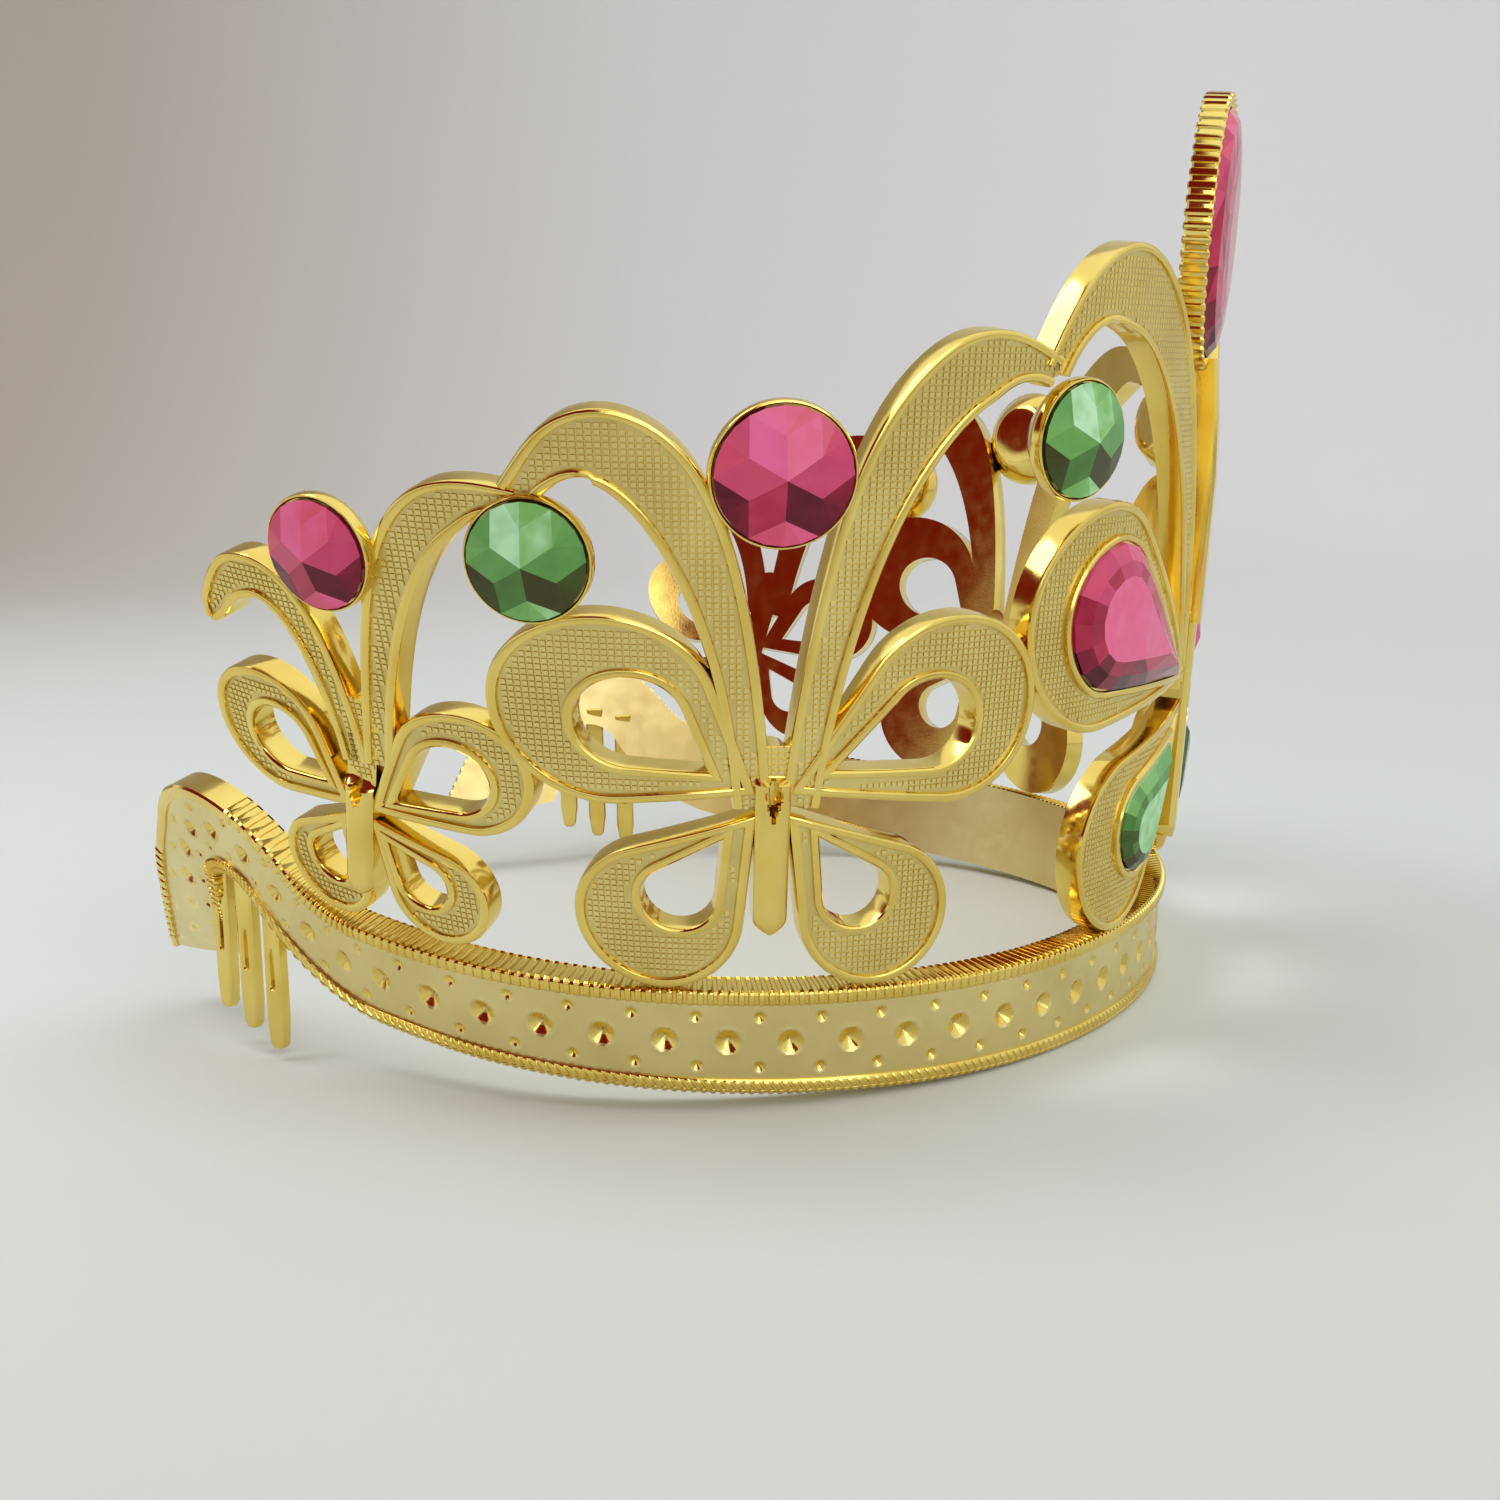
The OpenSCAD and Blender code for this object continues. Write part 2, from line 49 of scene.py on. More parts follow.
# %% [markdown]
# ## The wall
# The plan of the band is three arcs on each side: a flat one across the forehead, a tight one round the
# temple and a nearly straight one to the rear. The wall leans outwards, and more so towards the rear.
# A point is given by its run along the band, its height up the wall, and how far it stands out, all in
# millimetres. The function turns a whole list of such points into metres at once, because the meshes
# below have many thousands of them. A negative run is the wearer's left side, the mirror of the right.

# %% The wall as a function
MM = 0.001
FRONT_RADIUS, SIDE_RADIUS, REAR_RADIUS = 80.0, 60.5, 157.0
FRONT_HALF_ANGLE, SIDE_ANGLE = math.radians(24), math.radians(78)
FRONT_RUN = FRONT_RADIUS * FRONT_HALF_ANGLE
SIDE_RUN = FRONT_RUN + SIDE_RADIUS * SIDE_ANGLE
FRONT_TO_ORIGIN = 58.5
FRONT_LEAN, LEAN_GAIN, LEAN_RUN = 5.0, 11.8, 150.0
LEVEL_RUN, BAND_RISE = 12.0, 5.0


def outward(angle):
    return np.stack([-np.sin(angle), -np.cos(angle)], -1)


FRONT_MID = np.array([0.0, FRONT_RADIUS - FRONT_TO_ORIGIN])
SIDE_MID = FRONT_MID + (FRONT_RADIUS - SIDE_RADIUS) * outward(FRONT_HALF_ANGLE)
REAR_MID = SIDE_MID + (SIDE_RADIUS - REAR_RADIUS) * outward(FRONT_HALF_ANGLE + SIDE_ANGLE)


def turn(run):
    front = run / FRONT_RADIUS
    side = FRONT_HALF_ANGLE + (run - FRONT_RUN) / SIDE_RADIUS
    rear = FRONT_HALF_ANGLE + SIDE_ANGLE + (run - SIDE_RUN) / REAR_RADIUS
    return np.where(run < FRONT_RUN, front, np.where(run < SIDE_RUN, side, rear))


def lean(run):
    share = np.minimum(run / LEAN_RUN, 1.0)
    return np.radians(FRONT_LEAN + LEAN_GAIN * (1 - np.cos(math.pi * share)) / 2)


def rise(run):
    return BAND_RISE * (np.maximum(run - LEVEL_RUN, 0) / 100) ** 3


def wall(points):
    """Points given as (run, up, out) in millimetres, as positions in metres."""
    points = np.asarray(points, float).reshape(-1, 3)
    side = np.where(points[:, 0] < 0, -1.0, 1.0)
    run, up, out = np.abs(points[:, 0]), points[:, 1], points[:, 2]
    angle, tilt = turn(run), lean(run)
    direction = outward(angle)
    on_front, on_side = (run < FRONT_RUN)[:, None], (run < SIDE_RUN)[:, None]
    mid = np.where(on_front, FRONT_MID, np.where(on_side, SIDE_MID, REAR_MID))
    radius = np.where(run < FRONT_RUN, FRONT_RADIUS, np.where(run < SIDE_RUN, SIDE_RADIUS, REAR_RADIUS))
    reach = radius + up * np.sin(tilt) + out * np.cos(tilt)
    plan = mid + direction * reach[:, None]
    height = up * np.cos(tilt) - out * np.sin(tilt) + rise(run)
    return np.stack([plan[:, 0] * side, plan[:, 1], height], -1) * MM


print("half length of the straight band:", round(SIDE_RUN, 1), "mm")

# %% [markdown]
# ## Finishes
# Vacuum plating gives a thin mirror of gold over plastic. Smooth parts of the mould come out as
# mirrors, and the textured faces come out satin. Both are a metal shader: a noise pattern makes the
# colour and the roughness wander slightly, as plating does, and a finer noise gives the mould's grain.
# The stones have a foil back: some facets throw the light back as a bright pink or green, and others go
# deep and dark. This light and shade is painted into the colour: each facet carries a number, its painted
# light, and a colour ramp turns it into colour.

# %% Node helpers
def new_material(name):
    material = bpy.data.materials.new(name)
    material.use_nodes = True
    tree = material.node_tree
    tree.nodes.clear()
    output = tree.nodes.new("ShaderNodeOutputMaterial")
    shader = tree.nodes.new("ShaderNodeBsdfPrincipled")
    tree.links.new(shader.outputs["BSDF"], output.inputs["Surface"])
    return material, tree, shader


def noise(tree, scale, detail=2.0):
    """A noise pattern fixed to the object, in cells of about 1 / scale metres."""
    where = tree.nodes.new("ShaderNodeTexCoord")
    pattern = tree.nodes.new("ShaderNodeTexNoise")
    pattern.inputs["Scale"].default_value = scale
    pattern.inputs["Detail"].default_value = detail
    tree.links.new(where.outputs["Object"], pattern.inputs["Vector"])
    return pattern.outputs["Fac"]


def ramp(tree, value, stops):
    node = tree.nodes.new("ShaderNodeValToRGB")
    elements = node.color_ramp.elements
    while len(elements) < len(stops):
        elements.new(0.5)
    for element, (place, colour) in zip(elements, stops):
        element.position = place
        element.color = (*colour, 1.0)
    tree.links.new(value, node.inputs["Fac"])
    return node.outputs["Color"]


def spread(tree, value, low, high):
    node = tree.nodes.new("ShaderNodeMapRange")
    node.inputs["From Min"].default_value = 0.3
    node.inputs["From Max"].default_value = 0.7
    node.inputs["To Min"].default_value = low
    node.inputs["To Max"].default_value = high
    tree.links.new(value, node.inputs["Value"])
    return node.outputs["Result"]


def maths(tree, operation, *values):
    """A Math node; each value is a number or another node's output."""
    node = tree.nodes.new("ShaderNodeMath")
    node.operation = operation
    for socket, value in zip(node.inputs, values):
        if isinstance(value, (int, float)):
            socket.default_value = value
        else:
            tree.links.new(value, socket)
    return node.outputs["Value"]


def towards(tree, place, direction):
    """How far a position or a direction goes in the given direction."""
    node = tree.nodes.new("ShaderNodeVectorMath")
    node.operation = "DOT_PRODUCT"
    node.inputs[1].default_value = Vector(direction).normalized()
    tree.links.new(place, node.inputs[0])
    return node.outputs["Value"]


def between(tree, value, low, high, way="LINEAR"):
    """0 where the value is at low, 1 where it is at high."""
    node = tree.nodes.new("ShaderNodeMapRange")
    node.interpolation_type = way
    node.inputs["From Min"].default_value = low
    node.inputs["From Max"].default_value = high
    tree.links.new(value, node.inputs["Value"])
    return node.outputs["Result"]


def mix(tree, share, first, second):
    """A blend of two colours; each is a tuple or another node's output."""
    node = tree.nodes.new("ShaderNodeMix")
    node.data_type = "RGBA"
    tree.links.new(share, node.inputs["Factor"])
    for socket, value in ((6, first), (7, second)):
        if isinstance(value, tuple):
            node.inputs[socket].default_value = (*value, 1.0)
        else:
            tree.links.new(value, node.inputs[socket])
    return node.outputs[2]


def grain(tree, shader, value, strength, distance):
    node = tree.nodes.new("ShaderNodeBump")
    node.inputs["Strength"].default_value = strength
    node.inputs["Distance"].default_value = distance
    tree.links.new(value, node.inputs["Height"])
    tree.links.new(node.outputs["Normal"], shader.inputs["Normal"])


# %% Gold
def gold(name, pale, deep, smooth, rough, grain_strength):
    material, tree, shader = new_material(name)
    shader.inputs["Metallic"].default_value = 1.0
    drift = noise(tree, 130.0)
    tree.links.new(ramp(tree, drift, [(0.3, deep), (0.7, pale)]), shader.inputs["Base Color"])
    tree.links.new(spread(tree, noise(tree, 420.0, 3.0), smooth, rough), shader.inputs["Roughness"])
    grain(tree, shader, noise(tree, 2600.0), grain_strength, 0.00004)
    return material


MIRROR_GOLD = gold("gold_mirror", (0.88, 0.70, 0.20), (0.80, 0.58, 0.13), 0.09, 0.17, 0.10)
SATIN_GOLD = gold("gold_satin", (0.83, 0.70, 0.28), (0.77, 0.62, 0.21), 0.28, 0.40, 0.30)
PALE_GOLD = gold("gold_band_face", (0.82, 0.71, 0.33), (0.76, 0.63, 0.26), 0.30, 0.40, 0.22)
# The groove gold is a darker copy of the satin gold: painted shade for the sunken floors under the pads and
# the bottoms of the dimples.
GROOVE_SHADE_GOLD = gold("gold_groove_painted_shade", (0.76, 0.64, 0.25), (0.66, 0.53, 0.18), 0.34, 0.48, 0.30)


# %% Stones
def stone_finish(name, stops):
    material, tree, shader = new_material(name)
    painted_light = tree.nodes.new("ShaderNodeAttribute")
    painted_light.attribute_name = "painted_light"
    # Painted light: the facet's painted light, with a little scatter, picks the colour from the ramp.
    depth = maths(tree, "MULTIPLY_ADD", noise(tree, 420.0, 1.0), 0.16, painted_light.outputs["Fac"])
    tree.links.new(ramp(tree, depth, stops), shader.inputs["Base Color"])
    shader.inputs["Roughness"].default_value = 0.08
    shader.inputs["IOR"].default_value = 1.5
    shader.inputs["Specular IOR Level"].default_value = 0.3
    return material


# Each ramp runs from painted deep shade to a painted highlight.
PINK = stone_finish("stone_pink", [
    (0.10, (0.06, 0.001, 0.008)), (0.30, (0.22, 0.006, 0.03)), (0.50, (0.46, 0.022, 0.07)),
    (0.68, (0.62, 0.07, 0.18)), (0.84, (0.74, 0.09, 0.17)), (1.0, (0.86, 0.15, 0.36)),
])
GREEN = stone_finish("stone_green", [
    (0.10, (0.05, 0.035, 0.003)), (0.36, (0.05, 0.09, 0.013)), (0.62, (0.10, 0.30, 0.07)),
    (0.90, (0.22, 0.52, 0.15)), (1.0, (0.52, 0.88, 0.54)),
])
print("finishes:", [m.name for m in (MIRROR_GOLD, SATIN_GOLD, PALE_GOLD, GROOVE_SHADE_GOLD, PINK, GREEN)])

# %% [markdown]
# ## Shells and pieces
# Every piece is gathered from closed shells. A shell is a list of points and the faces between them,
# made flat and then wrapped. One piece of the tiara becomes one mesh, whose faces carry the finish they
# need. The wearer's left copy is the same mesh with x turned over and its faces wound the other way,
# so that they still point outwards.

# %% A piece made of shells
class Piece:
    def __init__(self, finishes):
        self.finishes = finishes
        self.points, self.faces, self.kinds, self.painted_lights = [], [], [], []
        self.count = 0

    def add(self, points, faces, kinds=0, painted_lights=()):
        """Adds a shell. Its points are already in metres; kinds is one finish number, or one per face.

        A stone also gives the painted light of each face, from 0 for painted deep shade to 1 for a painted
        highlight.
        """
        self.painted_lights += list(painted_lights)
        self.points.append(np.asarray(points, float).reshape(-1, 3))
        self.faces += [[i + self.count for i in face] for face in faces]
        self.kinds += [kinds] * len(faces) if isinstance(kinds, int) else list(kinds)
        self.count += len(self.points[-1])
        return self

    def build(self, name, nodes, slot, sharp=35.0, mirrored=False):
        points = np.concatenate(self.points)
        faces = self.faces
        if mirrored:
            points = points * np.array([-1.0, 1.0, 1.0])
            faces = [face[::-1] for face in faces]
        mesh = bpy.data.meshes.new(name)
        mesh.from_pydata(points.tolist(), [], faces)
        for finish in self.finishes:
            mesh.materials.append(finish)
        mesh.polygons.foreach_set("material_index", self.kinds)
        # The stones' painted light and shade is stored on each face for the stone finish.
        if self.painted_lights:
            mesh.attributes.new("painted_light", "FLOAT", "FACE").data.foreach_set("value", self.painted_lights)
        mesh.validate()
        if sharp > 0:
            mesh.shade_smooth()
            mesh.set_sharp_from_angle(angle=math.radians(sharp))
        mesh.update()
        piece = bpy.data.objects.new(name, mesh)
        bpy.context.scene.collection.objects.link(piece)
        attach(piece, "root")
        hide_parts(*nodes)
        print(name, len(mesh.polygons), "faces")
        return piece

    def build_pair(self, name, slot, sharp=35.0):
        self.build(name + "_visual_right", [name + "_right"], slot, sharp)
        self.build(name + "_visual_left", [name + "_left"], slot, sharp, mirrored=True)


# %% Lofting through rings of points
def loft(rings, around=True, caps=True, loop=False):
    """Faces through equal rings of points: closed around, with end caps or joined end to end."""
    count, size = len(rings), len(rings[0])
    faces = []
    for i in range(count if loop else count - 1):
        a, b = i * size, ((i + 1) % count) * size
        for j in range(size if around else size - 1):
            k = (j + 1) % size
            faces.append([a + j, a + k, b + k, b + j])
    if caps and not loop:
        faces.append(list(range(size))[::-1])
        faces.append([(count - 1) * size + j for j in range(size)])
    return np.concatenate([np.asarray(r, float) for r in rings]), faces


def outward_faces(points, faces):
    """The same faces, turned over if the closed shell would be inside out."""
    volume = 0.0
    for face in faces:
        a = points[face[0]]
        for i in range(1, len(face) - 1):
            volume += float(np.dot(a, np.cross(points[face[i]], points[face[i + 1]])))
    return faces if volume > 0 else [face[::-1] for face in faces]


def flat_shell(piece, rings, kinds=0, **how):
    """Lofts rings given as (run, up, out), wraps them on the wall and adds the shell to a piece."""
    points, faces = loft(rings, **how)
    points = wall(points)
    piece.add(points, outward_faces(points, faces), kinds)


# %% [markdown]
# ## Repeating small things with Geometry Nodes
# The tiara has thousands of tiny pads, ribs and dimples, and nobody would place them by hand. One tree
# puts a copy of a unit on every point of a mesh and scales it; another lays a row of units at a fixed
# pitch. Both end in Realize Instances and Set Material, so what comes out is real geometry. The result
# is taken as a plain mesh, still flat, and is wrapped on the wall like everything else.

# %% Trees that repeat a unit
def add_input(tree, name, kind, value=None):
    socket = tree.interface.new_socket(name=name, in_out="INPUT", socket_type=kind)
    if value is not None:
        socket.default_value = value
    return socket.identifier


def new_tree(name):
    tree = bpy.data.node_groups.new(name, "GeometryNodeTree")
    tree.interface.new_socket(name="Geometry", in_out="OUTPUT", socket_type="NodeSocketGeometry")
    tree.interface.new_socket(name="Geometry", in_out="INPUT", socket_type="NodeSocketGeometry")
    return tree, tree.nodes.new("NodeGroupInput"), tree.nodes.new("NodeGroupOutput")


def finish_tree(tree, source, group_in, group_out):
    real = tree.nodes.new("GeometryNodeRealizeInstances")
    paint = tree.nodes.new("GeometryNodeSetMaterial")
    tree.links.new(source, real.inputs["Geometry"])
    tree.links.new(real.outputs["Geometry"], paint.inputs["Geometry"])
    tree.links.new(group_in.outputs["Finish"], paint.inputs["Material"])
    tree.links.new(paint.outputs["Geometry"], group_out.inputs["Geometry"])


def points_tree():
    tree, group_in, group_out = new_tree("unit_on_each_point")
    keys = {
        "Unit": add_input(tree, "Unit", "NodeSocketObject"),
        "Finish": add_input(tree, "Finish", "NodeSocketMaterial"),
        "Size": add_input(tree, "Size", "NodeSocketFloat", 1.0),
    }
    unit = tree.nodes.new("GeometryNodeObjectInfo")
    place = tree.nodes.new("GeometryNodeInstanceOnPoints")
    tree.links.new(group_in.outputs["Unit"], unit.inputs["Object"])
    tree.links.new(group_in.outputs["Geometry"], place.inputs["Points"])
    tree.links.new(unit.outputs["Geometry"], place.inputs["Instance"])
    tree.links.new(group_in.outputs["Size"], place.inputs["Scale"])
    finish_tree(tree, place.outputs["Instances"], group_in, group_out)
    return tree, keys


def row_tree():
    tree, group_in, group_out = new_tree("units_in_a_row")
    keys = {
        "Unit": add_input(tree, "Unit", "NodeSocketObject"),
        "Finish": add_input(tree, "Finish", "NodeSocketMaterial"),
        "Count": add_input(tree, "Count", "NodeSocketInt", 2),
        "Start": add_input(tree, "Start", "NodeSocketVector"),
        "Step": add_input(tree, "Step", "NodeSocketVector"),
    }
    row = tree.nodes.new("GeometryNodeMeshLine")
    unit = tree.nodes.new("GeometryNodeObjectInfo")
    place = tree.nodes.new("GeometryNodeInstanceOnPoints")
    tree.links.new(group_in.outputs["Count"], row.inputs["Count"])
    tree.links.new(group_in.outputs["Start"], row.inputs["Start Location"])
    tree.links.new(group_in.outputs["Step"], row.inputs["Offset"])
    tree.links.new(group_in.outputs["Unit"], unit.inputs["Object"])
    tree.links.new(row.outputs["Mesh"], place.inputs["Points"])
    tree.links.new(unit.outputs["Geometry"], place.inputs["Instance"])
    finish_tree(tree, place.outputs["Instances"], group_in, group_out)
    return tree, keys


def plain_object(name, points=(), faces=()):
    mesh = bpy.data.meshes.new(name)
    mesh.from_pydata([tuple(map(float, p)) for p in points], [], faces)
    thing = bpy.data.objects.new(name, mesh)
    bpy.context.scene.collection.objects.link(thing)
    return thing


def baked(tree_and_keys, base_points, settings):
    """Runs a tree once and returns its flat points and faces as plain lists."""
    tree, keys = tree_and_keys
    carrier = plain_object("carrier", base_points)
    modifier = carrier.modifiers.new("repeat", "NODES")
    modifier.node_group = tree
    for name, value in settings.items():
        modifier[keys[name]] = value
    bpy.context.view_layer.update()
    mesh = bpy.data.meshes.new_from_object(carrier.evaluated_get(bpy.context.evaluated_depsgraph_get()))
    carrier.modifiers.remove(modifier)
    points = np.zeros(len(mesh.vertices) * 3)
    mesh.vertices.foreach_get("co", points)
    faces = [list(polygon.vertices) for polygon in mesh.polygons]
    bpy.data.objects.remove(carrier)
    bpy.data.meshes.remove(mesh)
    return points.reshape(-1, 3), faces


POINTS_TREE = points_tree()
ROW_TREE = row_tree()


# %% Units for the trees
def box_unit(name, bottom, top, low, high):
    """A pad with sloping sides: bottom and top are its half sizes, low and high its depths."""
    corners = [(-1, -1), (1, -1), (1, 1), (-1, 1)]
    points = [(x * bottom, y * bottom, low) for x, y in corners]
    points += [(x * top, y * top, high) for x, y in corners]
    faces = [[3, 2, 1, 0], [4, 5, 6, 7]]
    faces += [[i, (i + 1) % 4, (i + 1) % 4 + 4, i + 4] for i in range(4)]
    return plain_object(name, points, faces)


def rib_unit(name, path, half_width, height, slant=0.0):
    """A rounded rib laid along a path of (up, out) points; it leans along the row by slant."""
    path = np.asarray(path, float)
    heading = np.gradient(path, axis=0)
    heading /= np.linalg.norm(heading, axis=1)[:, None]
    away = np.stack([-heading[:, 1], heading[:, 0]], -1)
    section = [(-1, -0.4), (-0.62, 0.75), (0, 1), (0.62, 0.75), (1, -0.4)]
    rings = []
    for i, place in enumerate(path):
        shift = slant * (place[0] - path[0][0])
        rings.append([
            (across * half_width + shift, *(place + away[i] * height * out)) for across, out in section
        ])
    points, faces = loft(rings)
    thing = plain_object(name, points, outward_faces(points, faces))
    return thing


PAD_PITCH = 0.66
RECESS = 0.5
PAD = box_unit("pad_unit", 0.29, 0.22, -RECESS - 0.12, -RECESS + 0.15)
units = [PAD]
print("pad pitch:", PAD_PITCH, "mm")

# %% [markdown]
# ## Wings
# Each wing is a drop: a round lobe and a point at the body. It has a raised rim round its edge, a
# second rim round its opening, and between them a sunken face covered in a fine waffle of square pads.
# The edge of a drop moved inwards by a constant distance is the same drop, smaller, so a whole rim is
# one profile lofted through a few drops.

# %% Outlines
def drop(centre, radius, tip, inset=0.0, steps=64):
    """Outline of a drop, moved inwards by inset."""
    centre, tip = np.asarray(centre, float), np.asarray(tip, float)
    axis = tip - centre
    length = math.hypot(*axis)
    pointing = math.atan2(axis[1], axis[0])
    flank = math.acos(radius / length)
    around = np.linspace(0, 2 * math.pi, steps, endpoint=False)
    away = np.minimum(around, 2 * math.pi - around)
    reach = np.where(away < flank, radius / np.cos(np.minimum(flank - away, 1.5)), radius)
    reach = reach * (radius - inset) / radius
    return centre + reach[:, None] * np.stack([np.cos(pointing + around), np.sin(pointing + around)], -1)


def at_depth(outline, out):
    return np.column_stack([outline, np.full(len(outline), float(out))])


def inside(outline, points):
    """Which points lie inside a closed outline."""
    x, y = points[:, 0], points[:, 1]
    hit = np.zeros(len(points), bool)
    for a, b in zip(outline, np.roll(outline, -1, axis=0)):
        crosses = (a[1] > y) != (b[1] > y)
        if crosses.any():
            edge = (b[0] - a[0]) * (y - a[1]) / (b[1] - a[1] if b[1] != a[1] else 1e-9) + a[0]
            hit ^= crosses & (x < edge)
    return hit


def waffle(piece, keep, avoid=(), kind=1):
    """Covers the area inside the keep outline, and outside the avoid outlines, with pads."""
    low = np.floor(keep.min(0) / PAD_PITCH).astype(int)
    high = np.ceil(keep.max(0) / PAD_PITCH).astype(int)
    grid = np.stack(np.meshgrid(np.arange(low[0], high[0] + 1), np.arange(low[1], high[1] + 1)), -1)
    spots = grid.reshape(-1, 2) * PAD_PITCH
    wanted = inside(keep, spots)
    for outline in avoid:
        wanted &= ~inside(outline, spots)
    spots = spots[wanted]
    if len(spots) == 0:
        return 0
    flat = np.column_stack([spots, np.zeros(len(spots))])
    points, faces = baked(POINTS_TREE, flat, {"Unit": PAD, "Finish": SATIN_GOLD, "Size": 1.0})
    piece.add(wall(points), faces, kind)
    return len(spots)


# %% Pierced wings
PLATE = -3.4
OUTER_RIM = [(0, PLATE), (0, -0.5), (0.12, -0.16), (0.38, 0), (0.78, 0), (1.02, -0.14), (1.12, -RECESS)]
HOLE_RIM = [(1.0, -RECESS), (0.9, -0.1), (0.66, 0.0), (0.3, 0.0), (0.1, -0.16), (0, -0.5), (0, PLATE)]


def pierced_wing(piece, lobe, hole):
    rings = [at_depth(drop(*lobe, inset=d), out) for d, out in OUTER_RIM]
    first, last = drop(*lobe, inset=OUTER_RIM[-1][0]), drop(*hole, inset=-HOLE_RIM[0][0])
    rings += [at_depth(first + (last - first) * share, -RECESS) for share in (0.3, 0.65)]
    rings += [at_depth(drop(*hole, inset=-d), out) for d, out in HOLE_RIM]
    back_first, back_last = drop(*hole), drop(*lobe)
    rings += [at_depth(back_first + (back_last - back_first) * share, PLATE) for share in (0.35, 0.7)]
    size = len(rings[0])
    # The sunken face under the pads takes the darker groove gold, painted shade.
    sunken = range(len(OUTER_RIM) - 1, len(OUTER_RIM) + 2)
    kinds = [2 if i in sunken else 0 for i in range(len(rings)) for _ in range(size)]
    flat_shell(piece, rings, kinds, loop=True)
    return waffle(piece, drop(*lobe, inset=1.5), [drop(*hole, inset=-1.4)])


SIDE_WINGS = [
    ([91.6, 45.6], 10.6, [77.5, 36.4]), ([56.8, 45], 10.7, [74.5, 36.4]),
    ([87.4, 21.9], 8.6, [77.5, 34.2]), ([64.5, 21.9], 8.6, [74.5, 34.2]),
]
SIDE_HOLES = [
    ([89.3, 44.4], 5, [82.2, 39]), ([59.2, 43.6], 5, [69.8, 39]),
    ([85.4, 24.3], 3.7, [80.9, 31.2]), ([66.8, 24.3], 3.7, [71.1, 31.2]),
]
END_WINGS = [
    ([128.5, 36.9], 7.5, [119.4, 30]), ([105.7, 36.7], 7.2, [117, 30]),
    ([125.3, 20.8], 5.9, [119.8, 29.2]), ([111, 20.8], 5.9, [117.4, 29.2]),
]
END_HOLES = [
    ([127.2, 36.2], 3.8, [122.2, 32.6]), ([106.9, 35.9], 3.8, [113.4, 32]),
    ([124.4, 22], 2.6, [121.8, 26.4]), ([112.4, 22], 2.7, [115.6, 26.4]),
]
side_wings = Piece([MIRROR_GOLD, SATIN_GOLD, GROOVE_SHADE_GOLD])
pads = sum(pierced_wing(side_wings, lobe, hole) for lobe, hole in zip(SIDE_WINGS, SIDE_HOLES))
side_wings.build_pair("side_wings", "gold_plated")
end_wings = Piece([MIRROR_GOLD, SATIN_GOLD, GROOVE_SHADE_GOLD])
pads += sum(pierced_wing(end_wings, lobe, hole) for lobe, hole in zip(END_WINGS, END_HOLES))
end_wings.build_pair("end_wings", "gold_plated")
print("pads on the pierced wings of one side:", pads)

# %% [markdown]
# ## Front wings and their drop stones
# The front wings aren't pierced. Each has a raised seat for a drop-shaped stone, so its opening is
# closed by a floor under the stone. The stone is a flat table with a band of bevel facets round it.
# Few points round the drop give real facets, and flat shading keeps their edges crisp.

# %% Front wings
UPPER_WING, LOWER_WING = ([34.5, 53.2], 13.6, [1.5, 42.5]), ([23.8, 24.1], 11.2, [1.5, 39])
UPPER_DROP, LOWER_DROP = ([32.5, 53.2], 8.8, [8.5, 43.2]), ([19.5, 25.5], 5.8, [9, 34.5])
SEAT_RIM = [(1.0, -RECESS), (0.9, 0.05), (0.7, 0.25), (0.3, 0.25), (0.1, 0.1), (0, -0.3)]
front_wings = Piece([MIRROR_GOLD, SATIN_GOLD, GROOVE_SHADE_GOLD])


def seated_wing(piece, lobe, stone):
    back = [at_depth(drop(*lobe, inset=lobe[1] * share), PLATE) for share in (0.97, 0.7, 0.35)]
    rim = [at_depth(drop(*lobe, inset=d), out) for d, out in OUTER_RIM]
    first, last = drop(*lobe, inset=OUTER_RIM[-1][0]), drop(*stone, inset=-SEAT_RIM[0][0])
    face = [at_depth(first + (last - first) * share, -RECESS) for share in (0.3, 0.65)]
    seat = [at_depth(drop(*stone, inset=-d), out) for d, out in SEAT_RIM]
    floor = [at_depth(drop(*stone, inset=stone[1] * share), -0.4) for share in (0.3, 0.65, 0.97)]
    rings = back + rim + face + seat + floor
    # The sunken face under the pads takes the darker groove gold, painted shade.
    sunken = range(len(back) + len(rim) - 1, len(back) + len(rim) + 2)
    size = len(rings[0])
    kinds = [2 if i in sunken else 0 for i in range(len(rings) - 1) for _ in range(size)] + [0, 0]
    flat_shell(piece, rings, kinds)
    return waffle(piece, drop(*lobe, inset=1.5), [drop(*stone, inset=-1.4)])


for lobe, stone in ((UPPER_WING, UPPER_DROP), (LOWER_WING, LOWER_DROP)):
    print("pads on a front wing:", seated_wing(front_wings, lobe, stone))
front_wings.build_pair("front_wings", "gold_plated")


# %% Drop stones
def facet_painted_lights(points, faces, middle, gain):
    """Painted light: facets that look up are painted bright and those that look down painted deep, with a
    little scatter.
    """
    painted_lights = []
    for number, face in enumerate(faces):
        corners = points[face]
        normal = np.cross(corners[1] - corners[0], corners[2] - corners[0])
        looks_up = normal[2] / max(float(np.linalg.norm(normal)), 1e-12)
        scatter = 0.12 * math.sin(number * 2.4)
        painted_lights.append(float(np.clip(middle + gain * looks_up + scatter, 0, 0.95)))
    return painted_lights


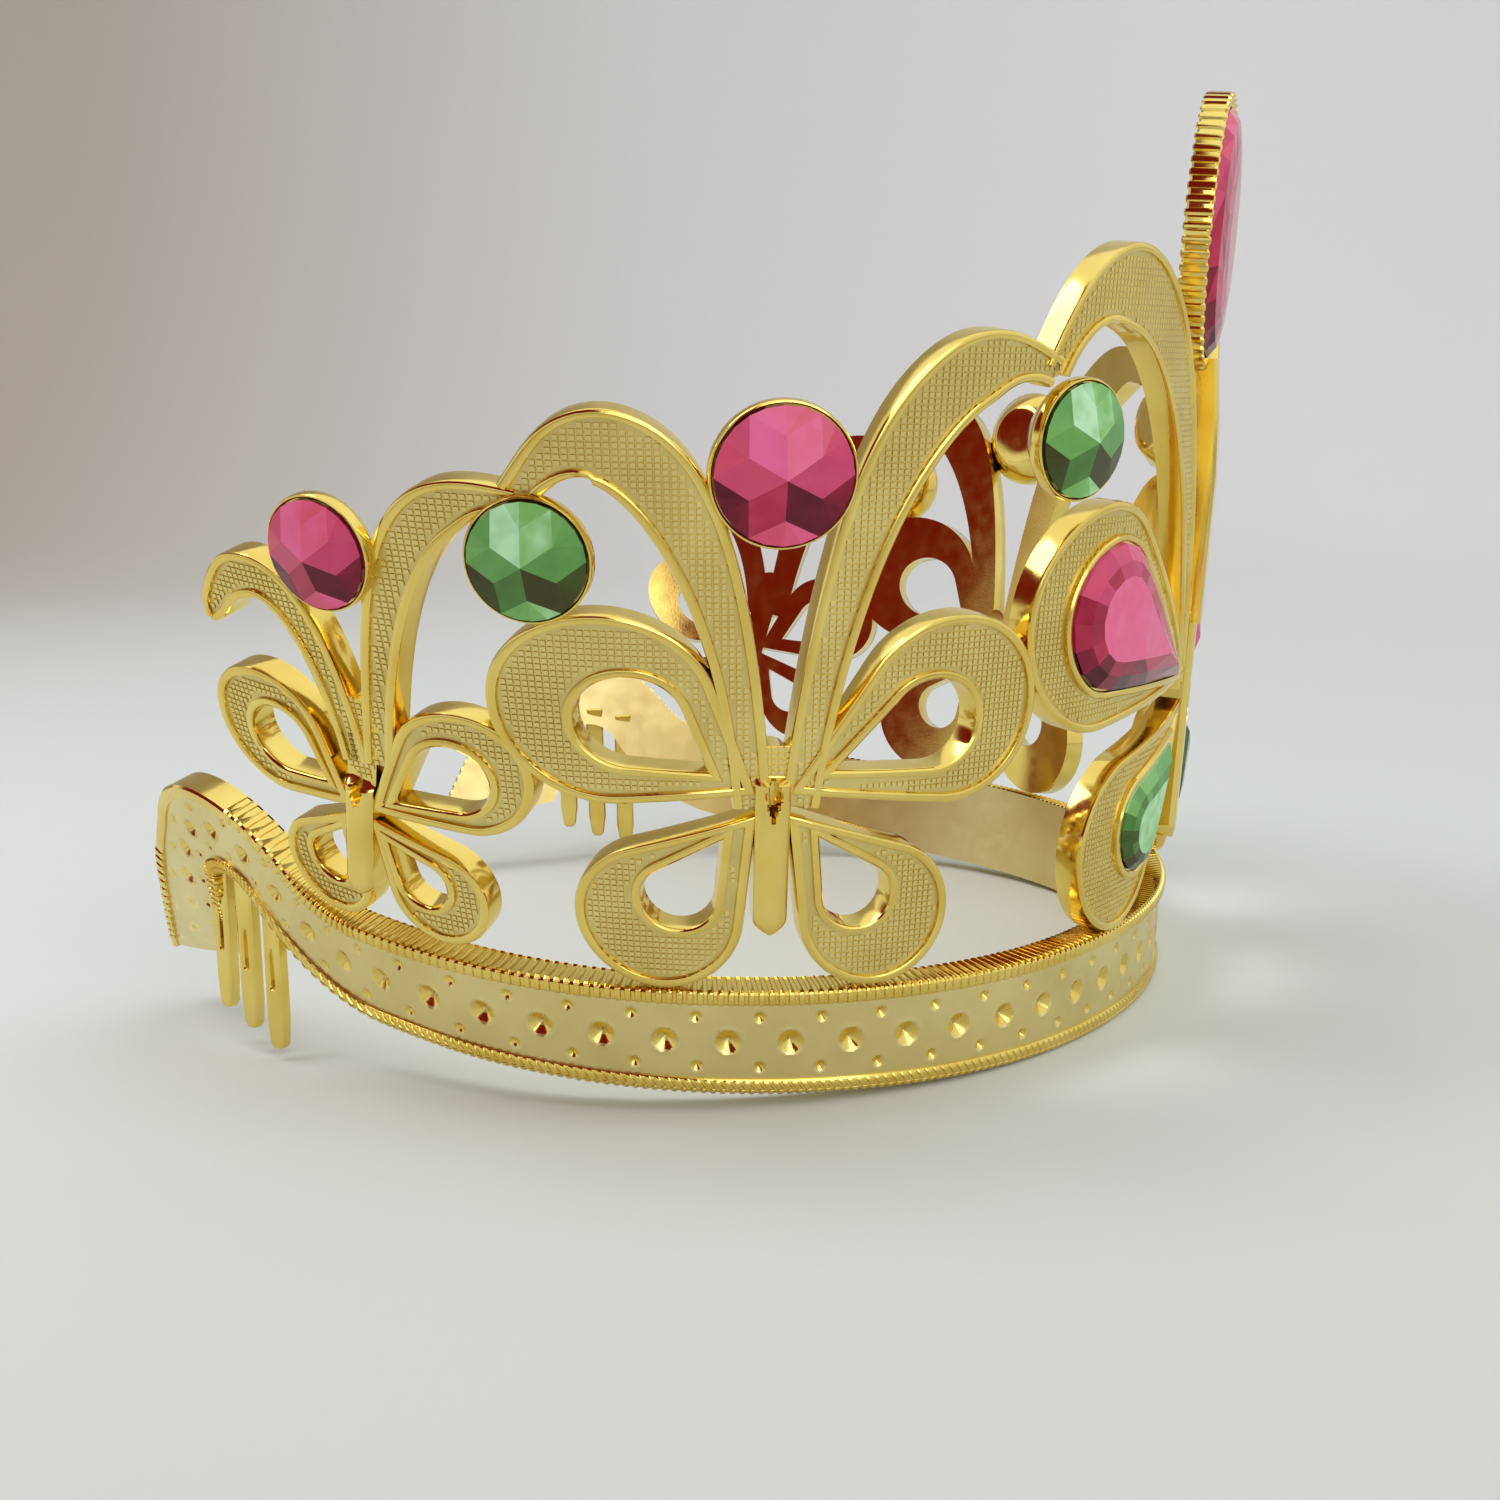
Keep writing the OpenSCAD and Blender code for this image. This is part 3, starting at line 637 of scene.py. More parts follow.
def drop_stone(name, outline, finish, slot, girdle, crown):
    def ring(inset, out, sides=16):
        return wall(at_depth(drop(*outline, inset=inset, steps=sides), out))

    radius = outline[1]
    rings = [ring(0.1, -0.35), ring(0.1, girdle), ring(radius * 0.22, girdle + crown * 0.75)]
    rings.append(ring(radius * 0.42, girdle + crown))
    points, faces = loft(rings)
    faces = outward_faces(points, faces)
    painted_lights = facet_painted_lights(points, faces, 0.45, 0.6)
    # The table facet gets a bright painted highlight.
    painted_lights[-1] = 0.86
    stone = Piece([finish]).add(points, faces, 0, painted_lights)
    stone.build_pair(name, slot, sharp=0)


drop_stone("upper_drop_stone", UPPER_DROP, PINK, "pink_stone", 0.3, 1.4)
drop_stone("lower_drop_stone", LOWER_DROP, GREEN, "green_stone", 0.3, 1.2)

# %% [markdown]
# ## Antennae
# An antenna is a strip along a smooth curve, narrow at the butterfly's body, widest at its crest and
# narrow again where it curls down to a stone. Its section is a shallow channel: a rim on each side and
# the waffle between them. The section is swept along the curve, scaled to the width at each station.

# %% Antennae
def curve(path, t):
    a, b, c, d = (np.asarray(p, float) for p in path)
    t = np.asarray(t)[:, None]
    place = (1 - t) ** 3 * a + 3 * t * (1 - t) ** 2 * b + 3 * t * t * (1 - t) * c + t ** 3 * d
    heading = (1 - t) ** 2 * (b - a) + 2 * t * (1 - t) * (c - b) + t * t * (d - c)
    return place, heading / np.linalg.norm(heading, axis=1)[:, None]


def antenna_width(widths, t):
    root, crest, tip = widths
    rising = root + (crest - root) * (1 - np.cos(math.pi * t / 0.7)) / 2
    falling = tip + (crest - tip) * (1 + np.cos(math.pi * (t - 0.7) / 0.3)) / 2
    return np.where(t < 0.7, rising, falling)


CHANNEL = [
    (0, PLATE), (0, -0.5), (0.12, -0.16), (0.36, 0), (0.72, 0), (0.95, -0.14), (1.05, -RECESS),
]


def antenna(name, path, widths, round_tip=False):
    piece = Piece([MIRROR_GOLD, SATIN_GOLD, GROOVE_SHADE_GOLD])
    steps = np.linspace(0, 1, 49)
    place, heading = curve(path, steps)
    half = antenna_width(widths, steps) / 2
    if round_tip:
        ending = np.clip((1 - steps) / 0.06, 0, 1)
        half = half * np.maximum(np.sqrt(1 - (1 - ending) ** 2), 0.5)
    side = np.stack([-heading[:, 1], heading[:, 0]], -1)
    section = [(1, inset, out) for inset, out in CHANNEL]
    section += [(0, 0, -RECESS)] + [(-1, inset, out) for inset, out in CHANNEL[::-1]] + [(0, 0, PLATE)]
    rings = []
    for i in range(len(steps)):
        ring = []
        for sign, inset, out in section:
            across = sign * max(half[i] - inset, 0.05)
            ring.append([*(place[i] + side[i] * across), out])
        rings.append(ring)
    size = len(section)
    # The channel floor under the pads takes the darker groove gold, painted shade.
    flat_shell(piece, rings, [
        2 if j in (len(CHANNEL) - 1, len(CHANNEL)) else 0 for _ in range(len(rings) - 1) for j in range(size)
    ] + [0, 0])
    inner = np.maximum(half - 1.35, 0.05)[:, None]
    keep = np.concatenate([place + side * inner, (place - side * inner)[::-1]])
    count = waffle(piece, keep)
    piece.build_pair(name, "gold_plated")
    return count


FRONT_PATH = [[3.2, 41], [7, 73], [36, 108], [47.2, 81.6]]
SIDE_FRONT_PATH = [[73.2, 35], [69, 72.7], [60, 87.7], [47.4, 81.4]]
SIDE_REAR_PATH = [[78, 35], [79.8, 66.7], [89, 82.7], [97.2, 68.6]]
END_FRONT_PATH = [[114.6, 36], [110.5, 58], [107, 69.8], [97.6, 67.6]]
END_REAR_PATH = [[117.4, 36], [118, 56], [126.2, 61.8], [132.6, 49.4]]
pads = antenna("front_antenna", FRONT_PATH, (4.6, 9.8, 3.6))
pads += antenna("side_front_antenna", SIDE_FRONT_PATH, (4, 7.8, 3.6))
pads += antenna("side_rear_antenna", SIDE_REAR_PATH, (3.8, 8, 3.6))
pads += antenna("end_front_antenna", END_FRONT_PATH, (3.4, 5.6, 3))
pads += antenna("end_rear_antenna", END_REAR_PATH, (3.4, 5.2, 3.4), round_tip=True)
print("pads on the antennae of one side:", pads)

# %% [markdown]
# ## Body bars
# The body of a butterfly is a slim rounded bar that stands in front of the wings, with a pointed slot
# near its head. The bar's front is a fine grid whose height follows a rule: a crown across the bar,
# minus the slot. The same grid, closed at its sides and back, gives a solid with the slot sunk in it.

# %% Body bars
BODY_PROUD, BODY_HALF = 0.8, 1.75


def smooth_step(value):
    value = np.clip(value, 0, 1)
    return value * value * (3 - 2 * value)


def body_bar(piece, foot, head, slot_from, slot_to, half=BODY_HALF, plate=True):
    foot, head = np.asarray(foot, float), np.asarray(head, float)
    length = np.linalg.norm(head - foot)
    along = (head - foot) / length
    side = np.array([along[1], -along[0]])
    stations = np.linspace(0, length, int(length / 0.3))
    across = np.linspace(-1, 1, 17)
    rings = []
    for s in stations:
        end = min(s, length - s) / half
        width = half * math.sqrt(max(1 - (1 - min(end, 1)) ** 2, 0.04))
        t = (s - slot_from) / (slot_to - slot_from)
        slit = 0.62 * math.sin(math.pi * min(max(t, 0), 1) ** 1.4) if 0 < t < 1 else 0
        crown = BODY_PROUD - 0.75 * across ** 4 - 0.25 * (1 - min(end, 1)) ** 2
        if plate:
            crown = crown + (-RECESS - crown) * smooth_step((s - slot_to + 0.6) / 0.8)
        depth = 1.9 * smooth_step((slit - np.abs(across * width)) / 0.22 + 0.5) if slit > 0 else 0
        front = np.column_stack([foot + along * s + side * (across * width)[:, None], crown - depth])
        back = [[*(foot + along * s + side * x * width), PLATE] for x in (1, -1)]
        rings.append(np.concatenate([front, back]))
    flat_shell(piece, rings)
    if plate:
        # The waffle goes on over the bar's head, where the antennae meet.
        near, far = foot + along * (slot_to + 0.6), head - along * 0.3
        wide = side * (half - 0.3)
        waffle(piece, np.array([near - wide, near + wide, far + wide, far - wide]))


front_body = Piece([MIRROR_GOLD])
body_bar(front_body, [0, 20], [0, 52], 15.0, 21.0, plate=False)
# The stem above it carries the oval setting.
stem = [(49, 1.3, -2), (52, 1.3, -1.9), (60, 1.3, -1.8), (68, 1.3, -1.6), (76, 0.8, -2.0), (83, 0, -2.6)]
flat_shell(front_body, [
    [
        [-1.7, up, back], [1.7, up, back], [1.7, up, front - 0.4],
        [1.3, up, front], [-1.3, up, front], [-1.7, up, front - 0.4],
    ]
    for up, front, back in stem
])
front_body.build("front_body_visual", ["front_body"], "gold_plated")
side_body = Piece([MIRROR_GOLD, SATIN_GOLD])
body_bar(side_body, [76.2, 20.3], [75.9, 42], 13.4, 18.0)
side_body.build_pair("side_body", "gold_plated")
end_body = Piece([MIRROR_GOLD, SATIN_GOLD])
body_bar(end_body, [121.1, 19], [114.9, 43.6], 12.0, 15.0)
end_body.build_pair("end_body", "gold_plated")

# %% [markdown]
# ## The band
# The band runs straight round the head, then bends up and over at each rear end into a hook. Its centre
# line is one function of the distance along it, and so is its width. Whatever is drawn flat along that
# line, such as the rims, the dimples and the ribs, follows the hook as well.

# %% The band's line
BAND_H, BAND_DEPTH, RIM = 13.0, 4.2, 1.8
HOOK_START, RISE_RADIUS, RISE_ANGLE = 124.0, 17.9, math.radians(51.4)
CROWN_RADIUS, LEG_ANGLE, LEG_LENGTH = 10.0, math.radians(65), 22.5
WAIST_W, LEG_W, END_SLANT = 11.0, 14.8, 1.3
RISE_LENGTH = RISE_RADIUS * RISE_ANGLE
CROWN_LENGTH = CROWN_RADIUS * (RISE_ANGLE + LEG_ANGLE)
HOOK_LENGTH = RISE_LENGTH + CROWN_LENGTH + LEG_LENGTH
HALF_LENGTH = HOOK_START + HOOK_LENGTH
WAIST_AT = (RISE_LENGTH + CROWN_RADIUS * RISE_ANGLE) / HOOK_LENGTH
WIDEN_FROM, WIDEN_TO, LEG_FROM = 0.58, 0.8, 1 - LEG_LENGTH / HOOK_LENGTH
RIB = 0.22


def ease(t):
    return (1 - np.cos(math.pi * np.clip(t, 0, 1))) / 2


def band_line(distance):
    """The band's centre (run, up), the direction across it and its half width, by distance from the front."""
    beyond = np.maximum(distance - HOOK_START, 0)
    a = np.minimum(beyond, RISE_LENGTH) / RISE_RADIUS
    b = np.clip(beyond - RISE_LENGTH, 0, CROWN_LENGTH) / CROWN_RADIUS
    rest = np.maximum(beyond - RISE_LENGTH - CROWN_LENGTH, 0)
    heading = a - b
    run = np.minimum(distance, HOOK_START) + RISE_RADIUS * np.sin(a)
    run = run + CROWN_RADIUS * (np.sin(a) - np.sin(heading)) + rest * np.cos(heading)
    up = BAND_H / 2 + RISE_RADIUS * (1 - np.cos(a))
    up = up + CROWN_RADIUS * (np.cos(heading) - np.cos(a)) + rest * np.sin(heading)
    part = beyond / HOOK_LENGTH
    narrowing = BAND_H + (WAIST_W - BAND_H) * ease(part / WAIST_AT)
    widening = WAIST_W + (LEG_W - WAIST_W) * ease((part - WIDEN_FROM) / (WIDEN_TO - WIDEN_FROM))
    slant = END_SLANT * ease((part - LEG_FROM) / (1 - LEG_FROM))
    across = [-np.sin(heading) + slant * np.cos(heading), np.cos(heading) + slant * np.sin(heading)]
    return run, up, across, np.where(part < WAIST_AT, narrowing, widening) / 2


def along_band(points):
    """Wraps flat (distance, across, out) points, where across counts from the edge it is nearer to.

    A positive across is measured down from the upper edge, and a negative one up from the lower edge.
    """
    points = np.asarray(points, float).reshape(-1, 3)
    side = np.where(points[:, 0] < 0, -1.0, 1.0)
    run, up, across, half = band_line(np.abs(points[:, 0]))
    offset = np.where(points[:, 1] > 0, half - points[:, 1], -half - points[:, 1])
    run = run + offset * across[0]
    up = up + offset * across[1]
    under = np.where(points[:, 1] < 0, np.minimum(points[:, 2], 0), 0)
    near_edge = np.clip(1 + (points[:, 1] + 0.6) / 1.2, 0, 1)
    up = up + under * np.tan(lean(run)) * np.where(points[:, 1] < 0, near_edge, 0)
    return wall(np.column_stack([run * side, up, points[:, 2]]))


def band_shell(piece, rings, kinds=0, **how):
    points, faces = loft(rings, **how)
    points = along_band(points)
    piece.add(points, outward_faces(points, faces), kinds)


# %% The band's body and rims
EPS = 0.01
SECTION = [
    (EPS + RIB, -BAND_DEPTH), (EPS + RIB, -0.55), (0.5, -RIB - 0.05), (RIM - 0.25, -RIB - 0.05), (RIM, -0.45),
    (RIM + 0.05, -1.8), (-RIM - 0.05, -1.8), (-RIM, -0.45), (-RIM + 0.25, -RIB - 0.05), (-0.5, -RIB - 0.05),
    (-EPS - RIB, -0.55), (-EPS - RIB, -BAND_DEPTH),
]
band = Piece([MIRROR_GOLD, PALE_GOLD, GROOVE_SHADE_GOLD])
stations = np.concatenate([np.arange(0, HOOK_START, 2.5), np.linspace(HOOK_START, HALF_LENGTH, 70)])
stations = np.concatenate([-stations[:0:-1], stations])
rings = [[[s, across, out] for across, out in SECTION] for s in stations]
# The last side of the section is the band's inner face, which is satin; the two end caps are polished.
kinds = [1 if j == len(SECTION) - 1 else 0 for _ in range(len(rings) - 1) for j in range(len(SECTION))]
band_shell(band, rings, kinds + [0, 0])

# %% [markdown]
# The face between the rims has a row of conical dimples, with small dimples above and below the gaps.
# A Geometry Nodes tree makes the whole face as one flat grid and sinks it by a rule: the distance to
# the middle of the nearest dimple, found by wrapping the position into one pitch. On the hook the
# pattern closes up, as it does on the real piece, because the flat strip is squeezed there.

# %% The dimpled face
DIMPLE_PITCH, HOOK_PITCH, FACE_RECESS = 7.0, 5.5, 0.6
LIP_AT, LIP_HALF_WIDTH = 0.18, 0.3


def dimple_tree():
    tree, group_in, group_out = new_tree("dimpled_face")
    keys = {
        "Finish": add_input(tree, "Finish", "NodeSocketMaterial"),
        "Length": add_input(tree, "Length", "NodeSocketFloat", 100.0),
        "Height": add_input(tree, "Height", "NodeSocketFloat", 10.0),
        "Pitch": add_input(tree, "Pitch", "NodeSocketFloat", 7.0),
        "Columns": add_input(tree, "Columns", "NodeSocketInt", 100),
        "Rows": add_input(tree, "Rows", "NodeSocketInt", 30),
    }
    grid = tree.nodes.new("GeometryNodeMeshGrid")
    sockets = ("Length", "Size X"), ("Height", "Size Y"), ("Columns", "Vertices X"), ("Rows", "Vertices Y")
    for name, socket in sockets:
        tree.links.new(group_in.outputs[name], grid.inputs[socket])
    position = tree.nodes.new("GeometryNodeInputPosition")
    parts = tree.nodes.new("ShaderNodeSeparateXYZ")
    tree.links.new(position.outputs["Position"], parts.inputs["Vector"])

    half_pitch = maths(tree, "MULTIPLY", group_in.outputs["Pitch"], 0.5)
    minus_half = maths(tree, "MULTIPLY", group_in.outputs["Pitch"], -0.5)

    def dimple(shift, row, radius, depth, lip):
        """Depth below the face of a row of dimples; shift moves the row along by part of a pitch."""
        moved = maths(tree, "MULTIPLY_ADD", group_in.outputs["Pitch"], shift, parts.outputs["X"])
        x = maths(tree, "WRAP", moved, half_pitch, minus_half)
        y = parts.outputs["Y"]
        if row:
            y = maths(tree, "SUBTRACT", maths(tree, "ABSOLUTE", y), row)
        squares = maths(tree, "ADD", maths(tree, "MULTIPLY", x, x), maths(tree, "MULTIPLY", y, y))
        away = maths(tree, "SQRT", squares)
        cone = maths(tree, "MAXIMUM", maths(tree, "SUBTRACT", 1.0, maths(tree, "DIVIDE", away, radius)), 0.0)
        ring = maths(tree, "ABSOLUTE", maths(tree, "SUBTRACT", away, radius + LIP_AT))
        raised = maths(tree, "SUBTRACT", 1.0, maths(tree, "DIVIDE", ring, LIP_HALF_WIDTH))
        raised = maths(tree, "MULTIPLY", maths(tree, "MAXIMUM", raised, 0.0), lip)
        return maths(tree, "SUBTRACT", maths(tree, "MULTIPLY", cone, depth), raised)

    large = dimple(0.5, 0, 1.5, 1.1, 0.09)
    small = dimple(0.0, 3.1, 0.72, 0.6, 0.05)
    total = maths(tree, "MULTIPLY", maths(tree, "ADD", large, small), -1.0)
    offset = tree.nodes.new("ShaderNodeCombineXYZ")
    tree.links.new(total, offset.inputs["Z"])
    sink = tree.nodes.new("GeometryNodeSetPosition")
    tree.links.new(grid.outputs["Mesh"], sink.inputs["Geometry"])
    tree.links.new(offset.outputs["Vector"], sink.inputs["Offset"])
    finish_tree(tree, sink.outputs["Geometry"], group_in, group_out)
    return tree, keys


LAST_FULL = 122.5
pattern_half = LAST_FULL + (HALF_LENGTH - 0.6 - LAST_FULL) * DIMPLE_PITCH / HOOK_PITCH
FACE_HALF = BAND_H / 2 - RIM
points, faces = baked(dimple_tree(), [(0, 0, 0)], {
    "Finish": PALE_GOLD, "Length": 2 * pattern_half, "Height": 2 * FACE_HALF,
    "Pitch": DIMPLE_PITCH, "Columns": int(2 * pattern_half / 0.26), "Rows": 37,
})
distance = np.abs(points[:, 0])
squeeze = HOOK_PITCH / DIMPLE_PITCH
distance = np.where(distance < LAST_FULL, distance, LAST_FULL + (distance - LAST_FULL) * squeeze)
_, _, _, half = band_line(distance)
# The strip fills the space between the rims, whatever the band's width there.
across = points[:, 1] / FACE_HALF * (half - RIM + 0.02)
from_edge = np.where(across >= 0, half - across, -half - across)
fade = smooth_step((HALF_LENGTH - 9 - distance) / 6)
depth = -FACE_RECESS + points[:, 2] * np.where(distance < LAST_FULL, 1, squeeze) * fade
strip = along_band(np.column_stack([distance * np.sign(points[:, 0] + 1e-9), from_edge, depth]))
# The walls of the dimples are polished, so they flash and darken; their bottoms take the darker groove gold
# as painted shade, and the face round them stays satin.
level = [float(points[face, 2].mean()) for face in faces]
WALL_FROM, BOTTOM_FROM = -0.06, -0.75
band.add(strip, faces, [1 if z >= WALL_FROM else 0 if z > BOTTOM_FROM else 2 for z in level])
print("band face:", len(faces), "faces, dimples every", DIMPLE_PITCH, "mm")

# %% [markdown]
# The upper edge is fluted: short ribs lie across its top and run over onto the rim. The lower edge is a
# rope: slanted beads on the rim, and a second row of ribs on the corner below them. Each row is one
# rib, repeated by the row tree at its pitch, and bent round the whole band afterwards.

# %% Ribs along the band
RIB_PITCH = 1.1
top_rib = rib_unit(
    "top_rib_unit",
    [
        (-1.65, -0.42), (-1.45, -0.27), (-0.6, -0.27), (-0.36, -0.4), (-0.24, -0.7), (-0.24, -2.4),
        (-0.24, -4.1),
    ],
    0.44, 0.24,
)
rope_bead = rib_unit(
    "rope_bead_unit",
    [(0.76, -0.4), (0.85, -0.27), (1.1, -0.22), (1.5, -0.27), (1.68, -0.42)],
    0.44, 0.22, slant=0.8,
)
corner_rib = rib_unit(
    "corner_rib_unit",
    [(0.24, -2.4), (0.24, -0.9), (0.28, -0.5), (0.45, -0.3), (0.6, -0.27), (0.72, -0.4)],
    0.42, 0.22,
)
units += [top_rib, rope_bead, corner_rib]


def row_of_ribs(unit, first, last):
    """A row of one unit along the band, between two distances from the front centre."""
    count = int((last - first) / RIB_PITCH)
    points, faces = baked(ROW_TREE, [(0, 0, 0)], {
        "Unit": unit, "Finish": MIRROR_GOLD, "Count": count,
        "Start": (first + RIB_PITCH / 2, 0, 0), "Step": (RIB_PITCH, 0, 0),
    })
    # A unit's height is measured from its edge: below the upper edge, or above the lower one.
    points[:, 1] = -points[:, 1]
    band.add(along_band(points), faces, 0)
    return count


# The fluting stops over the hook's crown, which is smooth, and starts again on the leg.
SMOOTH_FROM, SMOOTH_TO, END_MARGIN = 23, 43, 0.6
crown_from, crown_to, end = HOOK_START + SMOOTH_FROM, HOOK_START + SMOOTH_TO, HALF_LENGTH - END_MARGIN
ribs = row_of_ribs(top_rib, -crown_from, crown_from)
ribs += row_of_ribs(top_rib, crown_to, end) + row_of_ribs(top_rib, -end, -crown_to)
ribs += row_of_ribs(rope_bead, -end, end) + row_of_ribs(corner_rib, -end, end)
band.build("band_visual", ["band"], "gold_plated")
print("ribs on the band:", ribs)

# %% [markdown]
# ## Combs
# Three teeth hang from the inside of each hook. Each is a slim bar with a narrower foot and a closed
# slot. An outline and a slot with the same number of points are lofted through the thickness, with a
# small bevel on both, just like the wings.

# %% Comb teeth
TOOTH_PITCH, TOOTH_W, TOOTH_DEPTH, COMB_CENTRE, COMB_OUT = 4.9, 2.9, 1.6, 146.0, -1.8
FOOT_UP, ROOT_UP, FIRST_FOOT, FOOT_STEP = 9.5, 14.0, 1.5, 1.8
SLOT_W, SLOT_H, SLOT_LIFT, TAPER = 0.9, 4.5, 8.0, 3.5


def tooth(piece, number):
    run = COMB_CENTRE + (number - 1) * TOOTH_PITCH
    place = wall([[run, FOOT_UP, COMB_OUT - TOOTH_DEPTH / 2]])[0] / MM
    root = wall([[run, ROOT_UP, COMB_OUT]])[0][2] / MM
    angle = float(turn(np.array(run)))
    foot, w, s = FIRST_FOOT + number * FOOT_STEP, TOOTH_W / 2, SLOT_W / 2
    low, high = foot + SLOT_LIFT, foot + SLOT_LIFT + SLOT_H
    # Both outlines have twelve points, listed anticlockwise from the foot.
    outer = [
        (-0.35 * w, foot), (0.35 * w, foot), (0.7 * w, foot + 0.5), (w, foot + TAPER), (w, low), (w, high),
        (w, root), (-w, root), (-w, high), (-w, low), (-w, foot + TAPER), (-0.7 * w, foot + 0.5),
    ]
    inner = [
        (-0.5 * s, low - 0.5), (0.5 * s, low - 0.5), (s, low), (s, low + 0.8), (s, low + 1.6),
        (s, high - 0.6), (0.4 * s, high), (-0.4 * s, high), (-s, high - 0.6), (-s, low + 1.6),
        (-s, low + 0.8), (-s, low),
    ]
    outer, inner = np.array(outer), np.array(inner)
    middle = np.array([0, (foot + root) / 2])
    small = middle + (outer - middle) * np.array([1 - 0.25 / w, 1 - 0.5 / (root - foot)])
    wide = inner + np.sign(inner - np.array([0, (low + high) / 2])) * 0.16
    d = TOOTH_DEPTH / 2
    rings = [(outer, -d + 0.25), (outer, d - 0.25), (small, d), (wide, d), (inner, d - 0.2),
             (inner, -d + 0.2), (wide, -d), (small, -d)]
    flat, faces = loft([at_depth(o, out) for o, out in rings], loop=True)
    # The tooth stands upright: its width follows the band and its depth points outwards.
    level = np.array([-math.cos(angle), math.sin(angle)])
    away = outward(angle)
    points = np.column_stack([
        place[:2] + flat[:, :1] * level + flat[:, 2:] * away, flat[:, 1],
    ]) * MM
    piece.add(points, outward_faces(points, faces))


comb = Piece([MIRROR_GOLD])
for number in range(3):
    tooth(comb, number)
comb.build_pair("comb", "gold_plated")


# %% [markdown]
# ## Round stones and their cups
# A round stone is a low dome cut into six kites that meet at its middle, with slim triangles between
# them down to the edge. The kites are flat by construction: their middle corners lie on the straight
# line from the top to the edge. The cup is a lathe shape with a thin bright lip.

# %% Round stones and cups
def on_wall(at, out):
    """A function that puts local points, with +Z outwards and +Y up the wall, on the wall."""
    origin = wall([[at[0], at[1], out]])[0]
    angle, tilt = float(turn(np.array(at[0]))), float(lean(np.array(at[0])))
    turned = Matrix.Rotation(-angle, 3, "Z") @ Matrix.Rotation(math.pi / 2 + tilt, 3, "X")
    matrix = np.array(turned)
    return lambda points: origin + np.asarray(points, float) @ matrix.T * MM


def ring_points(radius, height, count, start=0.0):
    angles = np.linspace(0, 2 * math.pi, count, endpoint=False) + start
    return np.column_stack([radius * np.cos(angles), radius * np.sin(angles), np.full(count, float(height))])


# Painted light: the upper kites are painted bright and the lower ones in deep shade, and the lowest edge
# facets get a painted flash.
# The kites and the groups of edge facets between them are listed anticlockwise from the top.
KITE_PAINTED_LIGHTS = [0.90, 0.66, 0.44, 0.10, 0.58, 0.84]
EDGE_PAINTED_LIGHTS = [0.86, 0.70, 0.16, 0.82, 0.20, 0.66]


def round_stone(radius, height):
    """Points, faces and painted light of a stone with six kites; its edge has 24 points."""
    girdle, edge_count = 0.9, 24
    middle_radius = radius * 0.6 * math.cos(math.pi / 6)
    middle_height = height - (height - girdle) * middle_radius / radius
    back = ring_points(radius * 0.97, 0.02, edge_count, math.pi / 2)
    edge = ring_points(radius, girdle, edge_count, math.pi / 2)
    middle = ring_points(radius * 0.6, middle_height, 6, math.pi / 2)
    top = [[0, 0, height]]
    points = np.concatenate([back, edge, middle, top])
    faces = [list(range(edge_count))[::-1]]
    for j in range(edge_count):
        k = (j + 1) % edge_count
        faces.append([j, k, k + edge_count, j + edge_count])
    painted_lights = [0.2] + [0.25] * edge_count
    first_middle, apex = 2 * edge_count, 2 * edge_count + 6
    for i in range(6):
        m, n = first_middle + i, first_middle + (i + 1) % 6
        between = edge_count + (4 * i + 2) % edge_count
        faces.append([apex, m, between, n])
        painted_lights.append(KITE_PAINTED_LIGHTS[i])
        for j in range(-2, 2):
            a = edge_count + (4 * i + j) % edge_count
            b = edge_count + (4 * i + j + 1) % edge_count
            faces.append([m, a, b])
            painted_lights.append(EDGE_PAINTED_LIGHTS[i] + 0.04 * j)
    return points, faces, painted_lights


CUP_DEPTH, CUP_WALL = 3.8, 0.5


def cup_profile(r):
    rim = r + CUP_WALL
    return [
        (0.02, -CUP_DEPTH), (r * 0.3, -CUP_DEPTH), (r * 0.62, -CUP_DEPTH), (r * 0.72, -CUP_DEPTH + 0.25),
        (rim - 0.12, -1.1), (rim, -0.7), (rim, 0.3), (rim - 0.1, 0.52), (rim - 0.25, 0.58),
        (r + 0.12, 0.48), (r + 0.05, 0.2), (r + 0.05, -0.1), (r * 0.5, -0.1), (0.02, -0.1),
    ]


def stone_and_cup(name, at, radius, finish, slot):
    place = on_wall(at, 0.4)
    points, faces, painted_lights = round_stone(radius, 3.0)
    points = place(points)
    stone = Piece([finish]).add(points, outward_faces(points, faces), 0, painted_lights)
    stone.build_pair(name + "_stone", slot, sharp=0)
    rings = [ring_points(r, z, 56) for r, z in cup_profile(radius)]
    points, faces = loft(rings)
    points = place(points)
    cup = Piece([MIRROR_GOLD])
    cup.add(points, outward_faces(points, faces))
    cup.build_pair(name + "_cup", "gold_plated")


stone_and_cup("side", [75.6, 71.3], 7.2, PINK, "pink_stone")
stone_and_cup("end", [115.1, 60.7], 6.0, PINK, "pink_stone")
stone_and_cup("front_tip", [43.8, 74.2], 6.3, GREEN, "green_stone")
stone_and_cup("rear_tip", [96.6, 62], 6.3, GREEN, "green_stone")

# %% [markdown]
# ## The oval at the top
# The tallest piece is a large oval stone in a setting with a coin edge. The setting is lofted through
# ovals. Its ribs are laid by the row tree in a straight row as long as the oval's edge, and each point
# of the row is then placed by how far along the edge it lies. The dome has rows of long flat facets.

# %% Oval setting and stone
OVAL_UP, OVAL_LEAN, OVAL_OUT = 98.5, math.radians(5), -2.3
OVAL_W, OVAL_H, OVAL_DOME = 23.0, 31.0, 2.9
SETTING_RIM, SETTING_DEPTH, LIP = 1.9, 3.2, 0.8
oval_origin = wall([[0, OVAL_UP, OVAL_OUT]])[0]
oval_matrix = np.array(Matrix.Rotation(math.pi / 2 + OVAL_LEAN, 3, "X"))


